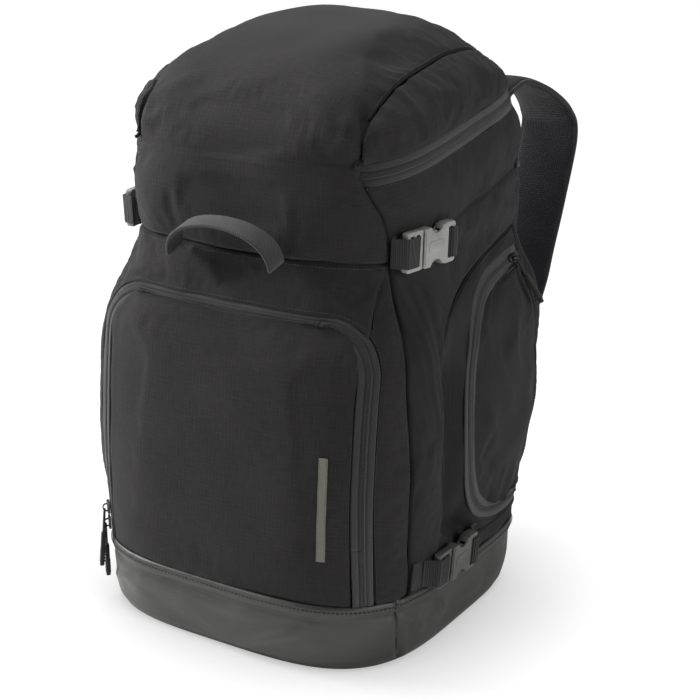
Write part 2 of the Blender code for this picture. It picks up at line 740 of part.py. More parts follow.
def make_shoulder_straps():
    path = spline(STRAP_PATH, 22)
    narrowing = [0.50, 0.76, 0.94] + [1.0] * 14 + [0.91, 0.82, 0.73, 0.64, 0.55]
    across = [Vector((STRAP_WIDTH / 2 * share, 0, 0)) for share in narrowing]
    right = ribbon("shoulder_strap_right", path, across, STRAP_THICK, "mesh")
    mirrored(right, "shoulder_strap_left")
    # The sewn root of each strap, fixed to the back panel.
    root = back_point(0.082, 0.470)
    end = Vector(STRAP_PATH[0])
    way = (end - root).normalized()
    yoke = [root + way * 0.0015, end - way * 0.0050]
    made = ribbon("strap_yoke_right", yoke, [Vector((0.015, 0, 0))] * 2, 0.009, "webbing")
    mirrored(made, "strap_yoke_left")
    # Adjuster at the padded end and the webbing that runs down to the base.
    foot = Vector(STRAP_PATH[-1])
    down = (Vector(STRAP_ANCHOR) - foot).normalized()
    side = Vector((1, 0, 0))
    side = (side - down * side.dot(down)).normalized()
    out = down.cross(side).normalized()
    frame = Matrix((down, side, out)).transposed().to_4x4()
    frame.translation = foot + down * 0.002
    low, high = (0, -0.0165, -0.003), (0.026, 0.0165, 0.003)
    lock = box("strap_adjuster_right", low, high, frame, "buckle", bevel=0.001)
    for k, (low, high) in enumerate(((0.004, 0.009), (0.015, 0.020))):
        slot = box(f"adjuster_slot_{k}", (low, -0.0125, -0.01), (high, 0.0125, 0.01), frame, "buckle")
        boolean(lock, helper(slot))
    mirrored(lock, "strap_adjuster_left")
    length = (Vector(STRAP_ANCHOR) - foot).length
    web = [frame.translation + down * 0.0275 + down * (length - 0.034) * t for t in (0, 0.5, 1)]
    tail = ribbon("strap_webbing_right", web, [side * 0.012] * 3, 0.002, "webbing")
    mirrored(tail, "strap_webbing_left")
    for word, sign in (("right", 1), ("left", -1)):
        top = (sign * end.x, end.y, end.z)
        pivot(top, f"shoulder_strap_{word}", f"strap_adjuster_{word}", f"strap_webbing_{word}")


def main():
    clear_scene()
    make_base()
    make_front_pocket()
    make_sides()
    make_back()
    make_inside()
    make_hood()
    make_zipper_hardware()
    make_straps()
    make_handle()
    make_shoulder_straps()


main()
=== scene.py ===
"""Looks of the ski boot bag: sewn cloth panels, zippers, buckles, webbing and straps, built on the frame.

Metres, in the frame's own axes: +X the bag's right, -Y its front, +Z up. Right-hand pieces are modelled
and then mirrored. A Net is a curved sheet of points; relief, cloth simulation and gathers are added to
it before it becomes a mesh.
"""

import json
import math
from contextlib import contextmanager

import bmesh
import bpy
import numpy as np
from mathutils import Matrix, Vector

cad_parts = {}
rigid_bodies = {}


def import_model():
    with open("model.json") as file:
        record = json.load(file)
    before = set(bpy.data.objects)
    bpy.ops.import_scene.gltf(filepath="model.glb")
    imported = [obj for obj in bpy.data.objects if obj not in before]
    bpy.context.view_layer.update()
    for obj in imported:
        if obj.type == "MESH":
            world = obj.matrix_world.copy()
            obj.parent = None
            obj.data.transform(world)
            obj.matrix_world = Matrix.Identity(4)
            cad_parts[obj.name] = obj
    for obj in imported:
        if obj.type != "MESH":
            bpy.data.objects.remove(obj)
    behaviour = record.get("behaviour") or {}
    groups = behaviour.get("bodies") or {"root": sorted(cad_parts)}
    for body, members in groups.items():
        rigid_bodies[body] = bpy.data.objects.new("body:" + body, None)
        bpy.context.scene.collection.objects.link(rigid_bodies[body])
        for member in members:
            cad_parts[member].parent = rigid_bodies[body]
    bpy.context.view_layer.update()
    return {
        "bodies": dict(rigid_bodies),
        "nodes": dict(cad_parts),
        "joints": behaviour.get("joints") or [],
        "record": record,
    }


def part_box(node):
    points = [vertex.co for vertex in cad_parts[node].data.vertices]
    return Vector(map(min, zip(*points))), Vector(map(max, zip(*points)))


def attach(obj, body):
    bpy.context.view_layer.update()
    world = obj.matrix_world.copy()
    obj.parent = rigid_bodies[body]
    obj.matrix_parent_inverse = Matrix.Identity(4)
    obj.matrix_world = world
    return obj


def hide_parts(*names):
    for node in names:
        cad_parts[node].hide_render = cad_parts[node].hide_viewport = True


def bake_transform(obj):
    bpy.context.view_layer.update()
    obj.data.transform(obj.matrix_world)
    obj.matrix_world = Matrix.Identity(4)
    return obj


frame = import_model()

# ---------------------------------------------------------------- driving dimensions, as in the frame
HALF_WIDTH = [(0, 0.171), (0.008, 0.1745), (0.04, 0.177), (0.10, 0.181), (0.20, 0.193), (0.29, 0.187),
              (0.385, 0.153), (0.45, 0.154), (0.50, 0.151), (0.54, 0.145)]
FRONT_Y = [(0, -0.191), (0.008, -0.195), (0.04, -0.198), (0.10, -0.200), (0.20, -0.194), (0.30, -0.186),
           (0.335, -0.172), (0.385, -0.158), (0.43, -0.163), (0.50, -0.155)]
BACK_Y = [(0, 0.119), (0.008, 0.125), (0.04, 0.132), (0.20, 0.155), (0.385, 0.170), (0.45, 0.170),
          (0.50, 0.150), (0.54, 0.118)]
SEAM = [(0.068, -0.124), (0.17, -0.136), (0.27, -0.138), (0.35, -0.122), (0.385, -0.117), (0.42, -0.124),
        (0.464, -0.1396)]
CROWN = [(-0.17, 0.524), (-0.12, 0.549), (-0.08, 0.562), (-0.03, 0.573), (0.02, 0.580), (0.06, 0.578),
         (0.10, 0.563), (0.14, 0.533), (0.17, 0.504)]
MIDDLE_Y = -0.02
FRONT_POWER = 3.6
BACK_POWER = 5.0
BACK_CORNER = math.radians(45)
BASE_TOP = 0.068
HOOD_SEAM = 0.385
HOOD_SEAM_X = 0.122
HOOD_CENTRE_Y = 0.01
CROWN_DROP = 0.034
CROWN_HALF = 0.14
PLANE_Z, PLANE_Y, PLANE_SLOPE = 0.468, -0.116, 0.15
POCKET_HALF, POCKET_TOP, POCKET_CORNER = 0.148, 0.333, 0.045
TAPE_WIDTH = 0.010
TAPE_LAP = TAPE_WIDTH - 0.0012  # how far from the hood zipper's coil the cloth begins
LINING_DEPTH = 0.0046
DOOR_COVER = 0.0068  # where the door's cloth begins, from the coil
TAPE_COVER = 0.0074  # where the cloth round the pocket begins, from the coil
DOOR_EDGE = [(0.098, 0.3475), (0.064, 0.3455), (0.012, 0.335), (-0.026, 0.309), (-0.045, 0.274),
             (-0.051, 0.228), (-0.048, 0.186), (-0.034, 0.150), (-0.008, 0.120), (0.030, 0.104),
             (0.098, 0.0985)]
DOOR_HINGE_Y = 0.107
DOOR_MIDDLE = (0.040, 0.222)
# Seam that rings the door's padded surround: (depth, height).
SURROUND = [(0.113, 0.374), (0.060, 0.366), (0.018, 0.358), (-0.028, 0.343), (-0.066, 0.326), (-0.086, 0.306),
            (-0.094, 0.280), (-0.096, 0.240), (-0.096, 0.200), (-0.090, 0.154), (-0.081, 0.120),
            (-0.058, 0.101), (-0.018, 0.091), (0.040, 0.087), (0.113, 0.086)]
UPPER_STRAP = (0.396, -0.093)
LOWER_STRAP = (0.088, -0.078)
WEB_WIDTH = 0.028
RIB_PITCH = 0.0019  # of woven webbing
STRAP_PATH = [(0.085, 0.186, 0.484), (0.089, 0.198, 0.495), (0.094, 0.216, 0.500), (0.104, 0.243, 0.487),
              (0.110, 0.266, 0.465), (0.113, 0.271, 0.438), (0.114, 0.243, 0.370), (0.114, 0.216, 0.310),
              (0.114, 0.199, 0.250), (0.113, 0.190, 0.205)]
STRAP_HALF, STRAP_THICK = 0.032, 0.011
CELL = 0.0034  # size of a cloth cell


# ---------------------------------------------------------------- curves
def read(table, at):
    """Smooth value from a table of (position, value), held level past its ends."""
    xs, ys = np.array(table, float).T
    steps = np.diff(ys) / np.diff(xs)
    slopes = np.zeros(len(xs))
    same = steps[:-1] * steps[1:] > 0
    total = np.where(same, steps[:-1] + steps[1:], 1)
    slopes[1:-1] = np.where(same, 2 * steps[:-1] * steps[1:] / total, 0)
    at = np.clip(np.asarray(at, float), xs[0], xs[-1])
    i = np.clip(np.searchsorted(xs, at, side="right") - 1, 0, len(xs) - 2)
    step = xs[i + 1] - xs[i]
    t = (at - xs[i]) / step
    return (ys[i] * (1 + 2 * t) * (1 - t) ** 2 + slopes[i] * step * t * (1 - t) ** 2
            + ys[i + 1] * t * t * (3 - 2 * t) + slopes[i + 1] * step * t * t * (t - 1))


def spline(points, count):
    """Catmull-Rom curve through the points."""
    ends = np.array(points, float)
    ends = np.vstack([2 * ends[0] - ends[1], ends, 2 * ends[-1] - ends[-2]])
    along = np.linspace(0, len(points) - 1, count)
    i = np.minimum(along.astype(int), len(points) - 2)
    t = (along - i)[:, None]
    a, b, c, d = ends[i], ends[i + 1], ends[i + 2], ends[i + 3]
    square, cube = 2 * a - 5 * b + 4 * c - d, 3 * b - a - 3 * c + d
    return 0.5 * (2 * b + (c - a) * t + square * t * t + cube * t ** 3)


def lengths(points):
    return np.concatenate([[0], np.cumsum(np.linalg.norm(np.diff(points, axis=0), axis=1))])


def resample(count, points, *others):
    """The path, and arrays that go with it, at this many even stations."""
    run = lengths(points)
    at = np.linspace(0, run[-1], count)
    return [np.stack([np.interp(at, run, a[:, k]) for k in range(3)], axis=1) for a in (points, *others)]


def evenly(points, step, normals):
    """The path and its normals, resampled at about this spacing."""
    count = max(2, int(round(lengths(points)[-1] / step)) + 1)
    return resample(count, points, normals)


def unit(vectors):
    return vectors / np.maximum(np.linalg.norm(vectors, axis=-1, keepdims=True), 1e-12)


def smoothstep(low, high, at):
    t = np.clip((at - low) / (high - low), 0, 1)
    return t * t * (3 - 2 * t)


def bump(at, centre, width):
    return np.exp(-((at - centre) / width) ** 2)


# ---------------------------------------------------------------- the bag's outline
def sizes(z):
    return read(HALF_WIDTH, z), MIDDLE_Y - read(FRONT_Y, z), read(BACK_Y, z) - MIDDLE_Y


def outline(z, angle):
    """Points of the outline. Angle -90 degrees is the front centre, 0 the right side."""
    z, angle = np.broadcast_arrays(np.asarray(z, float), angle)
    half, front, back = sizes(z)
    c, s = np.cos(angle), np.sin(angle)
    power = np.where(s < 0, FRONT_POWER, BACK_POWER)
    reach = np.where(s < 0, front, back)
    x = half * np.copysign(np.abs(c) ** (2 / power), c)
    return np.stack([x, MIDDLE_Y + reach * np.copysign(np.abs(s) ** (2 / power), s), z], axis=-1)


def side_point(y, z):
    """Point of the right side at this depth and height."""
    y, z = np.broadcast_arrays(np.asarray(y, float), z)
    half, front, back = sizes(z)
    ahead = y < MIDDLE_Y
    share = np.where(ahead, (MIDDLE_Y - y) / front, (y - MIDDLE_Y) / back)
    power = np.where(ahead, FRONT_POWER, BACK_POWER)
    x = half * np.clip(1 - np.clip(share, 0, 1) ** power, 0, 1) ** (1 / power)
    return np.stack([x, y, z], axis=-1)


def front_point(x, z):
    """Point of the front at this width and height."""
    x, z = np.broadcast_arrays(np.asarray(x, float), z)
    half, front, _ = sizes(z)
    share = np.clip(1 - np.clip(np.abs(x) / half, 0, 1) ** FRONT_POWER, 0, 1)
    return np.stack([x, MIDDLE_Y - front * share ** (1 / FRONT_POWER), z], axis=-1)


def back_y(x, z):
    half, _, back = sizes(z)
    return MIDDLE_Y + back * np.clip(1 - np.abs(x / half) ** BACK_POWER, 0, 1) ** (1 / BACK_POWER)


def seam_x(z):
    """Half-width between the two upright seams."""
    return side_point(read(SEAM, z), z)[..., 0]


def plane_z(y):
    return PLANE_Z + PLANE_SLOPE * (y - PLANE_Y)


def wing_z(y):
    return 0.413 + 0.18 * y


def ring_point(angle, lift=0.0):
    """Points of the slanted parting line between body and hood."""
    z = np.full(np.shape(angle), PLANE_Z)
    for _ in range(8):
        z = plane_z(outline(z, angle)[..., 1]) + lift
    return outline(z, angle)


def hood_height(x, y, lift=0.0):
    """Height of the hood above a point inside the parting line."""
    angles = np.linspace(-math.pi, math.pi, 1441)
    ring = ring_point(angles, lift)
    away = np.hypot(ring[:, 0], ring[:, 1] - HOOD_CENTRE_Y)
    turn = np.unwrap(np.arctan2(ring[:, 1] - HOOD_CENTRE_Y, ring[:, 0]))
    here = np.arctan2(y - HOOD_CENTRE_Y, x)
    reach = np.interp(here, turn, away, period=2 * math.pi)
    foot = np.interp(here, turn, ring[:, 2], period=2 * math.pi)
    s = np.sin(np.interp(here, turn, angles, period=2 * math.pi))
    power = 6.0 - np.where(s < 0, 2.6, 1.6) * s * s
    share = np.clip(np.hypot(x, y - HOOD_CENTRE_Y) / reach, 0, 1)
    ceiling = read(CROWN, y) - CROWN_DROP * (np.abs(x) / CROWN_HALF) ** 3
    return foot + (ceiling - foot) * (1 - share ** power) ** (1 / power)


def outward(points, span=0.002):
    """Outward directions of the body's outline at these points."""
    x, y, z = points[..., 0], points[..., 1], points[..., 2]
    side = np.abs(x) > 0.86 * read(HALF_WIDTH, z)
    sign = np.sign(x)
    up_side = side_point(y, z + span) - side_point(y, z - span)
    rear = side_point(y + span, z) - side_point(y - span, z)
    from_side = unit(np.cross(rear, up_side)) * np.stack([sign, np.ones_like(x), np.ones_like(x)], -1)
    up_front = front_point(x, z + span) - front_point(x, z - span)
    across = front_point(x + span, z) - front_point(x - span, z)
    from_front = unit(np.cross(across, up_front))
    return np.where(side[..., None], from_side, from_front)


# ---------------------------------------------------------------- nets of cloth
class Net:
    """A curved sheet of points. u runs to the right seen from outside, v upwards."""

    def __init__(self, surface, columns, rows, ring=False):
        u, v = np.meshgrid(np.linspace(0, 1, columns + 1), np.linspace(0, 1, rows + 1))
        self.points = surface(u, v)
        self.ring = ring
        self.measure()

    def measure(self):
        """Distances along the cloth to each edge, and outward normals."""
        across = np.linalg.norm(np.diff(self.points, axis=1), axis=2)
        along = np.linalg.norm(np.diff(self.points, axis=0), axis=2)
        self.left = np.pad(np.cumsum(across, axis=1), ((0, 0), (1, 0)))
        self.right = self.left[:, -1:] - self.left
        self.low = np.pad(np.cumsum(along, axis=0), ((1, 0), (0, 0)))
        self.high = self.low[-1:] - self.low
        du = np.gradient(self.points, axis=1)
        if self.ring:
            wrapped = (self.points[:, 1] - self.points[:, -2]) / 2
            du[:, 0] = du[:, -1] = wrapped
        self.normal = unit(np.cross(du, np.gradient(self.points, axis=0)))

    def edge(self, names="left right low high"):
        """Distance to the nearest of these edges."""
        if self.ring:
            names = names.replace("left", "").replace("right", "")
        return np.minimum.reduce([getattr(self, n) for n in names.split()])

    def lift(self, height):
        self.points = self.points + self.normal * height[..., None]
        if self.ring:
            self.points[:, -1] = self.points[:, 0]

    def relax(self, rounds):
        """Evens out the inner points of a ring between its two fixed edges."""
        for _ in range(rounds):
            loop = self.points[:, :-1]
            around = (np.roll(loop, 1, axis=1) + np.roll(loop, -1, axis=1))[1:-1]
            loop[1:-1] = 0.25 * (around + loop[:-2] + loop[2:])
            self.points[:, -1] = self.points[:, 0]

    def refine(self):
        """Adds rows and columns near the edges, so that seams stay crisp."""
        def stations(cells):
            fine = np.array([0, 0.22, 0.44, 0.66, 0.88, 1.1, 1.4, 1.8, 2.4, 3.0])
            return np.concatenate([fine, np.arange(4, cells - 3), cells - fine[::-1]])

        def spread(field, at):
            low = np.minimum(at.astype(int), len(field) - 2)
            share = (at - low)[:, None, None]
            return field[low] * (1 - share) + field[low + 1] * share

        rows, columns = self.points.shape[:2]
        self.points = spread(self.points, stations(rows - 1))
        if not self.ring:
            across = spread(self.points.transpose(1, 0, 2), stations(columns - 1))
            self.points = across.transpose(1, 0, 2)
        self.measure()

    def line(self, edge, inset):
        """Points and normals of the line at this distance from an edge."""
        distance = getattr(self, edge)
        fields = [self.points, self.normal]
        if edge in ("left", "right"):
            distance = distance.T
            fields = [f.transpose(1, 0, 2) for f in fields]
        if edge in ("right", "high"):
            distance = distance[::-1]
            fields = [f[::-1] for f in fields]
        made = [np.empty((distance.shape[1], 3)) for _ in fields]
        for k in range(distance.shape[1]):
            for out, f in zip(made, fields):
                for axis in range(3):
                    out[k, axis] = np.interp(inset, distance[:, k], f[:, k, axis])
        return made


def waves(net, seed, size, count=26, stretch=1.0):
    """A smooth random swell of about unit height, over lengths of about size."""
    rng = np.random.default_rng(seed)
    across, along = net.left - net.left[:, net.left.shape[1] // 2, None], net.low
    total = np.zeros_like(across)
    for _ in range(count):
        heading = rng.uniform(0, 2 * math.pi)
        length = size * rng.uniform(0.6, 1.8)
        phase = rng.uniform(0, 2 * math.pi)
        run = across * math.cos(heading) / stretch + along * math.sin(heading)
        total += np.sin(2 * math.pi * run / length + phase)
    return total * math.sqrt(2 / count)


def gathers(distance, along, seed, pitch=0.012, height=0.0010, reach=0.018, slant=0.5):
    """Small puckers that start at a seam and fade away from it."""
    rng = np.random.default_rng(seed)
    total = np.zeros_like(distance)
    for centre in np.arange(along.min(), along.max(), pitch):
        at = centre + rng.normal(0, 0.3 * pitch)
        wide = pitch * rng.uniform(0.20, 0.42)
        fade = reach * rng.uniform(0.4, 1.5)
        lean = rng.uniform(-slant, slant)
        high = height * rng.uniform(0.2, 1.0)
        total += high * np.exp(-((along - at - lean * distance) / wide) ** 2 - distance / fade)
    return total * smoothstep(0, 0.004, distance)


def tuck(distance, depth=0.0028, width=0.0042):
    """The dip where a panel is drawn into its seam: a crisp fold inside a soft one."""
    return -depth * (0.55 * np.exp(-(distance / 0.0014) ** 2) + 0.45 * np.exp(-(distance / width) ** 1.6))


def puff(net, height, reach=0.030, names="left right low high"):
    """Padding that fills out between seams."""
    swell = np.ones_like(net.left)
    for name in names.split():
        swell *= 1 - np.exp(-(getattr(net, name) / reach) ** 1.2)
    return height * swell


# ---------------------------------------------------------------- cloth simulation
class Drape:
    """Runs Blender's cloth on several nets together, each held at its seams."""

    FRAMES = 16

    def __init__(self):
        self.jobs = []

    def add(self, net, pressure, growth, cap, hold=0.010):
        self.jobs.append((net, pressure, growth, cap, hold))

    def run(self):
        if not self.jobs:
            return
        scene = bpy.context.scene
        cloths = [self.cloth(*job) for job in self.jobs]
        for step in range(1, self.FRAMES + 1):
            scene.frame_set(step)
        graph = bpy.context.evaluated_depsgraph_get()
        for cloth, (net, _, _, cap, hold) in zip(cloths, self.jobs):
            mesh = cloth.evaluated_get(graph).to_mesh()
            moved = np.empty(len(mesh.vertices) * 3)
            mesh.vertices.foreach_get("co", moved)
            shift = moved.reshape(net.points.shape) - net.points
            size = np.linalg.norm(shift, axis=-1, keepdims=True)
            shift *= np.tanh(size / cap) * cap / np.maximum(size, 1e-9)
            shift *= smoothstep(0, hold, net.edge())[..., None]
            net.points = net.points + shift
            net.measure()
        for cloth in cloths:
            bpy.data.objects.remove(cloth)
        scene.frame_set(1)

    def cloth(self, net, pressure, growth, cap, hold):
        points, faces = sheet(net.points)
        obj = add_mesh("draping", points, faces)
        group = obj.vertex_groups.new(name="held")
        weights = 1 - smoothstep(0.2 * hold, hold, net.edge()).ravel()
        for k in np.nonzero(weights > 0.02)[0]:
            group.add([int(k)], float(weights[k]), "REPLACE")
        settings = obj.modifiers.new("Cloth", "CLOTH").settings
        settings.quality = 4
        settings.mass = 0.15
        settings.tension_stiffness = settings.compression_stiffness = 18
        settings.shear_stiffness = 8
        settings.bending_stiffness = 0.6
        settings.air_damping = 2
        settings.vertex_group_mass = "held"
        settings.use_pressure = True
        settings.uniform_pressure_force = pressure
        settings.shrink_min = -growth
        settings.effector_weights.gravity = 0.0
        return obj


# ---------------------------------------------------------------- meshes
def add_mesh(name, points, faces, finish=None, uv=None):
    mesh = bpy.data.meshes.new(name)
    mesh.from_pydata(np.asarray(points, float).reshape(-1, 3).tolist(), [], faces)
    if uv is not None:
        layer = mesh.uv_layers.new(name="cloth")
        corners = np.empty(len(mesh.loops), np.int32)
        mesh.loops.foreach_get("vertex_index", corners)
        layer.data.foreach_set("uv", np.asarray(uv, np.float32).reshape(-1, 2)[corners].ravel())
    mesh.shade_smooth()
    if finish:
        mesh.materials.append(MATERIALS[finish])
    obj = bpy.data.objects.new(name, mesh)
    bpy.context.scene.collection.objects.link(obj)
    return obj


def sheet(points):
    """Points and faces of a net as a flat list."""
    rows, columns = points.shape[:2]
    faces = []
    for j in range(rows - 1):
        for i in range(columns - 1):
            a = j * columns + i
            faces.append((a, a + 1, a + columns + 1, a + columns))
    return points.reshape(-1, 3), faces


def cloth_mesh(name, net, finish, thick=0.0016):
    """The net as a thin closed sheet with real thickness."""
    points, faces = sheet(net.points)
    across = net.left - net.left[:, net.left.shape[1] // 2, None]
    obj = add_mesh(name, points, faces, finish, np.stack([across, net.low], axis=-1))
    if net.ring:
        weld(obj)
    shell = obj.modifiers.new("Thickness", "SOLIDIFY")
    shell.thickness = thick
    shell.offset = -1
    shell.use_even_offset = False
    apply_modifiers(obj)
    return obj


@contextmanager
def editing(obj):
    bm = bmesh.new()
    bm.from_mesh(obj.data)
    yield bm
    bm.to_mesh(obj.data)
    bm.free()


def from_bmesh(name, bm, finish=None):
    """A new object. With a finish it is smooth, with sharp rims."""
    mesh = bpy.data.meshes.new(name)
    bm.to_mesh(mesh)
    bm.free()
    if finish:
        mesh.shade_smooth()
        mesh.set_sharp_from_angle(angle=math.radians(40))
        mesh.materials.append(MATERIALS[finish])
    obj = bpy.data.objects.new(name, mesh)
    bpy.context.scene.collection.objects.link(obj)
    return obj


def prism(line, bottom, top):
    """A closed outline raised between two heights, and its upper points."""
    bm = bmesh.new()
    lower = [bm.verts.new((x, y, bottom)) for x, y in line]
    upper = [bm.verts.new((x, y, top)) for x, y in line]
    bm.faces.new(lower[::-1])
    bm.faces.new(upper)
    for k in range(len(line)):
        n = (k + 1) % len(line)
        bm.faces.new((lower[k], lower[n], upper[n], upper[k]))
    bmesh.ops.recalc_face_normals(bm, faces=bm.faces)
    return bm, upper


def weld(obj, distance=1e-5):
    with editing(obj) as bm:
        bmesh.ops.remove_doubles(bm, verts=bm.verts, dist=distance)


def apply_modifiers(obj):
    graph = bpy.context.evaluated_depsgraph_get()
    made = bpy.data.meshes.new_from_object(obj.evaluated_get(graph))
    obj.modifiers.clear()
    obj.data = made


def skin_faces(count, around, base=0, capped=True):
    """Faces over rings of points that are numbered from base, with both ends closed if capped."""
    faces = []
    for ring in range(count - 1):
        low = base + ring * around
        for k in range(around):
            n = (k + 1) % around
            faces.append((low + k, low + n, low + around + n, low + around + k))
    if capped:
        faces.append(tuple(base + k for k in range(around - 1, -1, -1)))
        faces.append(tuple(base + (count - 1) * around + k for k in range(around)))
    return faces


def sweep(name, path, normals, profile, finish, closed=False):
    """A closed profile of (across, out) points carried along a path. across points to path x normal."""
    ahead = np.gradient(path, axis=0)
    if closed:
        ahead[0] = ahead[-1] = path[1] - path[-2]
    ahead = unit(ahead)
    out = unit(normals - ahead * np.sum(normals * ahead, axis=1, keepdims=True))
    side = np.cross(ahead, out)
    profile = np.array(profile, float)
    if profile.ndim == 2:
        profile = np.repeat(profile[None], len(path), axis=0)
    rings = (path[:, None] + side[:, None] * profile[..., :1] + out[:, None] * profile[..., 1:])
    count, around = rings.shape[:2]
    run = lengths(path)
    uv = np.stack([np.broadcast_to(profile[..., 0], (count, around)),
                   np.broadcast_to(run[:, None], (count, around))], axis=-1)
    obj = add_mesh(name, rings, skin_faces(count, around, 0, not closed), finish, uv)
    fix_normals(obj)
    return obj


def fix_normals(obj):
    with editing(obj) as bm:
        bmesh.ops.recalc_face_normals(bm, faces=bm.faces)


def round_profile(radius, sides):
    turn = np.linspace(0, 2 * math.pi, sides, endpoint=False)
    return [(radius * math.cos(a), radius * math.sin(a)) for a in turn]


def band_profile(half, thick, ease=0.0008):
    """Section of a flat band with rounded edges."""
    low = -thick / 2
    section = [(half - ease, low), (half - 0.3 * ease, low + 0.3 * ease), (half, low + ease)]
    section += [(x, -y) for x, y in section[::-1]]
    return section + [(-x, y) for x, y in section[::-1]]


def stitches(name, path, normals, pitch=0.0034, long=0.0023, radius=0.00030, finish="thread"):
    """A row of thread: each stitch is a small pointed capsule lying on the cloth."""
    path, normals = evenly(path, pitch, normals)
    ahead = unit(np.gradient(path, axis=0))
    out = unit(normals)
    side = np.cross(ahead, out)
    stations = [(-0.5, 0.35, -0.5), (-0.32, 1.0, 0.5), (0.32, 1.0, 0.5), (0.5, 0.35, -0.5)]
    sides = 6
    points, faces = [], []
    for p, a, o, s in zip(path[:-1], ahead, out, side):
        base = len(points)
        for along, size, high in stations:
            centre = p + a * along * long + o * radius * high
            for k in range(sides):
                turn = 2 * math.pi * k / sides
                points.append(centre + radius * size * (s * math.cos(turn) + o * math.sin(turn)))
        faces += skin_faces(len(stations), sides, base)
    obj = add_mesh(name, points, faces, finish)
    fix_normals(obj)
    return obj


def join(name, pieces):
    """Several meshes as one piece."""
    target = pieces[0]
    bm = bmesh.new()
    for piece in pieces:
        bm.from_mesh(piece.data)
    bm.to_mesh(target.data)
    bm.free()
    for piece in pieces[1:]:
        bpy.data.objects.remove(piece)
    target.name = name
    return target


def mirror(obj, name):
    """A left-hand copy."""
    mesh = obj.data.copy()
    mesh.transform(Matrix.Scale(-1, 4, (1, 0, 0)))
    mesh.flip_normals()
    made = bpy.data.objects.new(name, mesh)
    bpy.context.scene.collection.objects.link(made)
    return made


def place(obj, body, slot, *nodes):
    """Rides a piece on its body and hides the frame nodes it stands for. The slot is not used."""
    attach(obj, body)
    finish_piece(obj, slot, *nodes)
    return obj


def finish_piece(obj, slot, *nodes):
    if nodes:
        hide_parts(*nodes)


def pair(obj, base, body, slot, *nodes):
    """A right-hand piece and its mirror image. {} in the names stands for right or left."""
    left = mirror(obj, base.format("left"))
    obj.name = base.format("right")
    place(obj, body.format("right"), slot, *[n.format("right") for n in nodes])
    place(left, body.format("left"), slot, *[n.format("left") for n in nodes])
    return obj, left


# ---------------------------------------------------------------- materials
class Nodes:
    """Short way to wire shader nodes."""

    def __init__(self, name):
        self.material = bpy.data.materials.new(name)
        self.material.use_nodes = True
        self.tree = self.material.node_tree
        self.shader = self.tree.nodes["Principled BSDF"]

    def add(self, kind, **settings):
        node = self.tree.nodes.new(kind)
        for key, value in settings.items():
            setattr(node, key, value)
        return node

    def wire(self, source, target):
        self.tree.links.new(source, target)

    def space(self):
        """Place in the piece's own axes."""
        return self.add("ShaderNodeTexCoord").outputs["Object"]

    def cloth(self):
        """Metres across and along the cloth."""
        return self.add("ShaderNodeUVMap", uv_map="cloth").outputs["UV"]

    def value(self, target, value):
        if isinstance(value, bpy.types.NodeSocket):
            self.wire(value, target)
        else:
            target.default_value = value

    def math(self, operation, first, second=0.0, clamp=False):
        node = self.add("ShaderNodeMath", operation=operation, use_clamp=clamp)
        self.value(node.inputs[0], first)
        self.value(node.inputs[1], second)
        return node.outputs[0]

    def ramp(self, fac, low, high):
        node = self.add("ShaderNodeMapRange")
        self.value(node.inputs["Value"], fac)
        node.inputs["From Min"].default_value = low
        node.inputs["From Max"].default_value = high
        return node.outputs["Result"]

    def mix(self, fac, first, second):
        node = self.add("ShaderNodeMix", data_type="RGBA")
        self.value(node.inputs["Factor"], fac)
        self.value(node.inputs[6], (*first, 1) if isinstance(first, tuple) else first)
        self.value(node.inputs[7], (*second, 1) if isinstance(second, tuple) else second)
        return node.outputs[2]

    def noise(self, vector, scale, detail=3.0):
        node = self.add("ShaderNodeTexNoise")
        self.wire(vector, node.inputs["Vector"])
        node.inputs["Scale"].default_value = scale
        node.inputs["Detail"].default_value = detail
        return node.outputs["Fac"]

    def stretched(self, vector, x, y, z=1.0):
        node = self.add("ShaderNodeMapping")
        self.wire(vector, node.inputs["Vector"])
        node.inputs["Scale"].default_value = (x, y, z)
        return node.outputs["Vector"]

    def bump(self, height, distance, under=None):
        node = self.add("ShaderNodeBump")
        node.inputs["Distance"].default_value = distance
        self.wire(height, node.inputs["Height"])
        if under:
            self.wire(under, node.inputs["Normal"])
        return node.outputs["Normal"]

    def finish(self, colour, roughness, normal=None, sheen=0.0, specular=0.4, metallic=0.0):
        shader = self.shader.inputs
        self.value(shader["Base Color"], colour)
        self.value(shader["Roughness"], roughness)
        shader["Sheen Weight"].default_value = sheen
        shader["Sheen Roughness"].default_value = 0.45
        shader["Specular IOR Level"].default_value = specular
        shader["Metallic"].default_value = metallic
        if normal:
            self.wire(normal, shader["Normal"])
        return self.material


